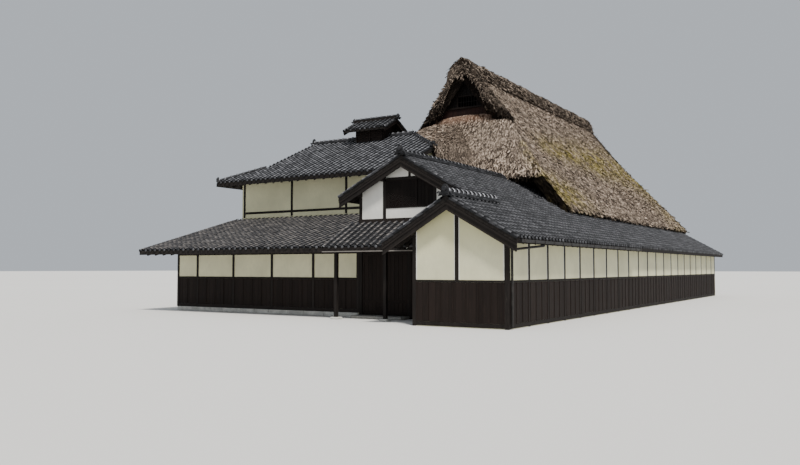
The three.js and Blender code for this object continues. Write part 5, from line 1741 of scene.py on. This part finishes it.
class FARMHOUSE_OT_thatch(bpy.types.Operator):
    """Thatch the four slopes of the main roof"""

    bl_idname = "farmhouse.thatch"
    bl_label = "Thatch Slopes"

    def execute(self, context):
        build_thatch()
        return {"FINISHED"}


class FARMHOUSE_OT_thatch_ridge(bpy.types.Operator):
    """Cover the ridge of the thatch and roll its gable edges"""

    bl_idname = "farmhouse.thatch_ridge"
    bl_label = "Thatch Ridge"

    def execute(self, context):
        build_ridge_cover()
        verge_roll("front_verge_roll", GABLE_Y[0], 1, 23, 0.1)
        verge_roll("back_verge_roll", GABLE_Y[1], -1, 27, 0.02)
        return {"FINISHED"}


class FARMHOUSE_OT_gables(bpy.types.Operator):
    """Add the strips and frames of the gables in the thatch and on the wing"""

    bl_idname = "farmhouse.gables"
    bl_label = "Gables"

    def execute(self, context):
        build_gable()
        build_wing_gable()
        return {"FINISHED"}


class FARMHOUSE_OT_eaves(bpy.types.Operator):
    """Add the rafters, purlin ends and trims under the roofs"""

    bl_idname = "farmhouse.eaves"
    bl_label = "Eaves"

    def execute(self, context):
        build_eaves()
        return {"FINISHED"}


class FARMHOUSE_OT_vent(bpy.types.Operator):
    """Slat the smoke vent on the wing"""

    bl_idname = "farmhouse.vent"
    bl_label = "Smoke Vent"

    def execute(self, context):
        build_vent()
        return {"FINISHED"}


class FARMHOUSE_OT_gutter(bpy.types.Operator):
    """Hang the gutter and its pipe on brackets"""

    bl_idname = "farmhouse.gutter"
    bl_label = "Gutter Brackets"

    def execute(self, context):
        build_gutter()
        return {"FINISHED"}


class FARMHOUSE_OT_stonework(bpy.types.Operator):
    """Lay the entrance step and the stones under the walls"""

    bl_idname = "farmhouse.stonework"
    bl_label = "Stonework"

    def execute(self, context):
        build_stonework()
        return {"FINISHED"}


class FARMHOUSE_OT_stage(bpy.types.Operator):
    """Set the floor, the lights and the camera"""

    bl_idname = "farmhouse.stage"
    bl_label = "Stage"

    def execute(self, context):
        build_stage()
        return {"FINISHED"}


STEPS = (
    FARMHOUSE_OT_walls, FARMHOUSE_OT_doors, FARMHOUSE_OT_shutters, FARMHOUSE_OT_tiles,
    FARMHOUSE_OT_tile_edges, FARMHOUSE_OT_ridges, FARMHOUSE_OT_thatch, FARMHOUSE_OT_thatch_ridge,
    FARMHOUSE_OT_gables, FARMHOUSE_OT_eaves, FARMHOUSE_OT_vent, FARMHOUSE_OT_gutter,
    FARMHOUSE_OT_stonework, FARMHOUSE_OT_stage,
)


class FARMHOUSE_PT_sidebar(bpy.types.Panel):
    """Sizes and colours of the farmhouse, and the steps that build it"""

    bl_label = "Farmhouse"
    bl_idname = "FARMHOUSE_PT_sidebar"
    bl_space_type = "VIEW_3D"
    bl_region_type = "UI"
    bl_category = "Farmhouse"

    def draw(self, context):
        for name, group in GROUPS.items():
            box = self.layout.box()
            box.label(text=name.capitalize())
            for key in group.__annotations__:
                box.prop(settings(name), key)
        for step in STEPS:
            self.layout.operator(step.bl_idname)


GROUPS = {"tiles": TileSettings, "thatch": ThatchSettings, "walls": WallSettings, "stage": StageSettings}


def register():
    for name, group in GROUPS.items():
        bpy.utils.register_class(group)
        setattr(bpy.types.Scene, "farmhouse_" + name, PointerProperty(type=group))
    for step in (*STEPS, FARMHOUSE_PT_sidebar):
        bpy.utils.register_class(step)


def unregister():
    for step in (FARMHOUSE_PT_sidebar, *reversed(STEPS)):
        bpy.utils.unregister_class(step)
    for name, group in reversed(GROUPS.items()):
        delattr(bpy.types.Scene, "farmhouse_" + name)
        bpy.utils.unregister_class(group)


def main():
    register()
    for step in STEPS:
        getattr(bpy.ops.farmhouse, step.bl_idname.split(".")[1])()


if __name__ == "__main__":
    main()
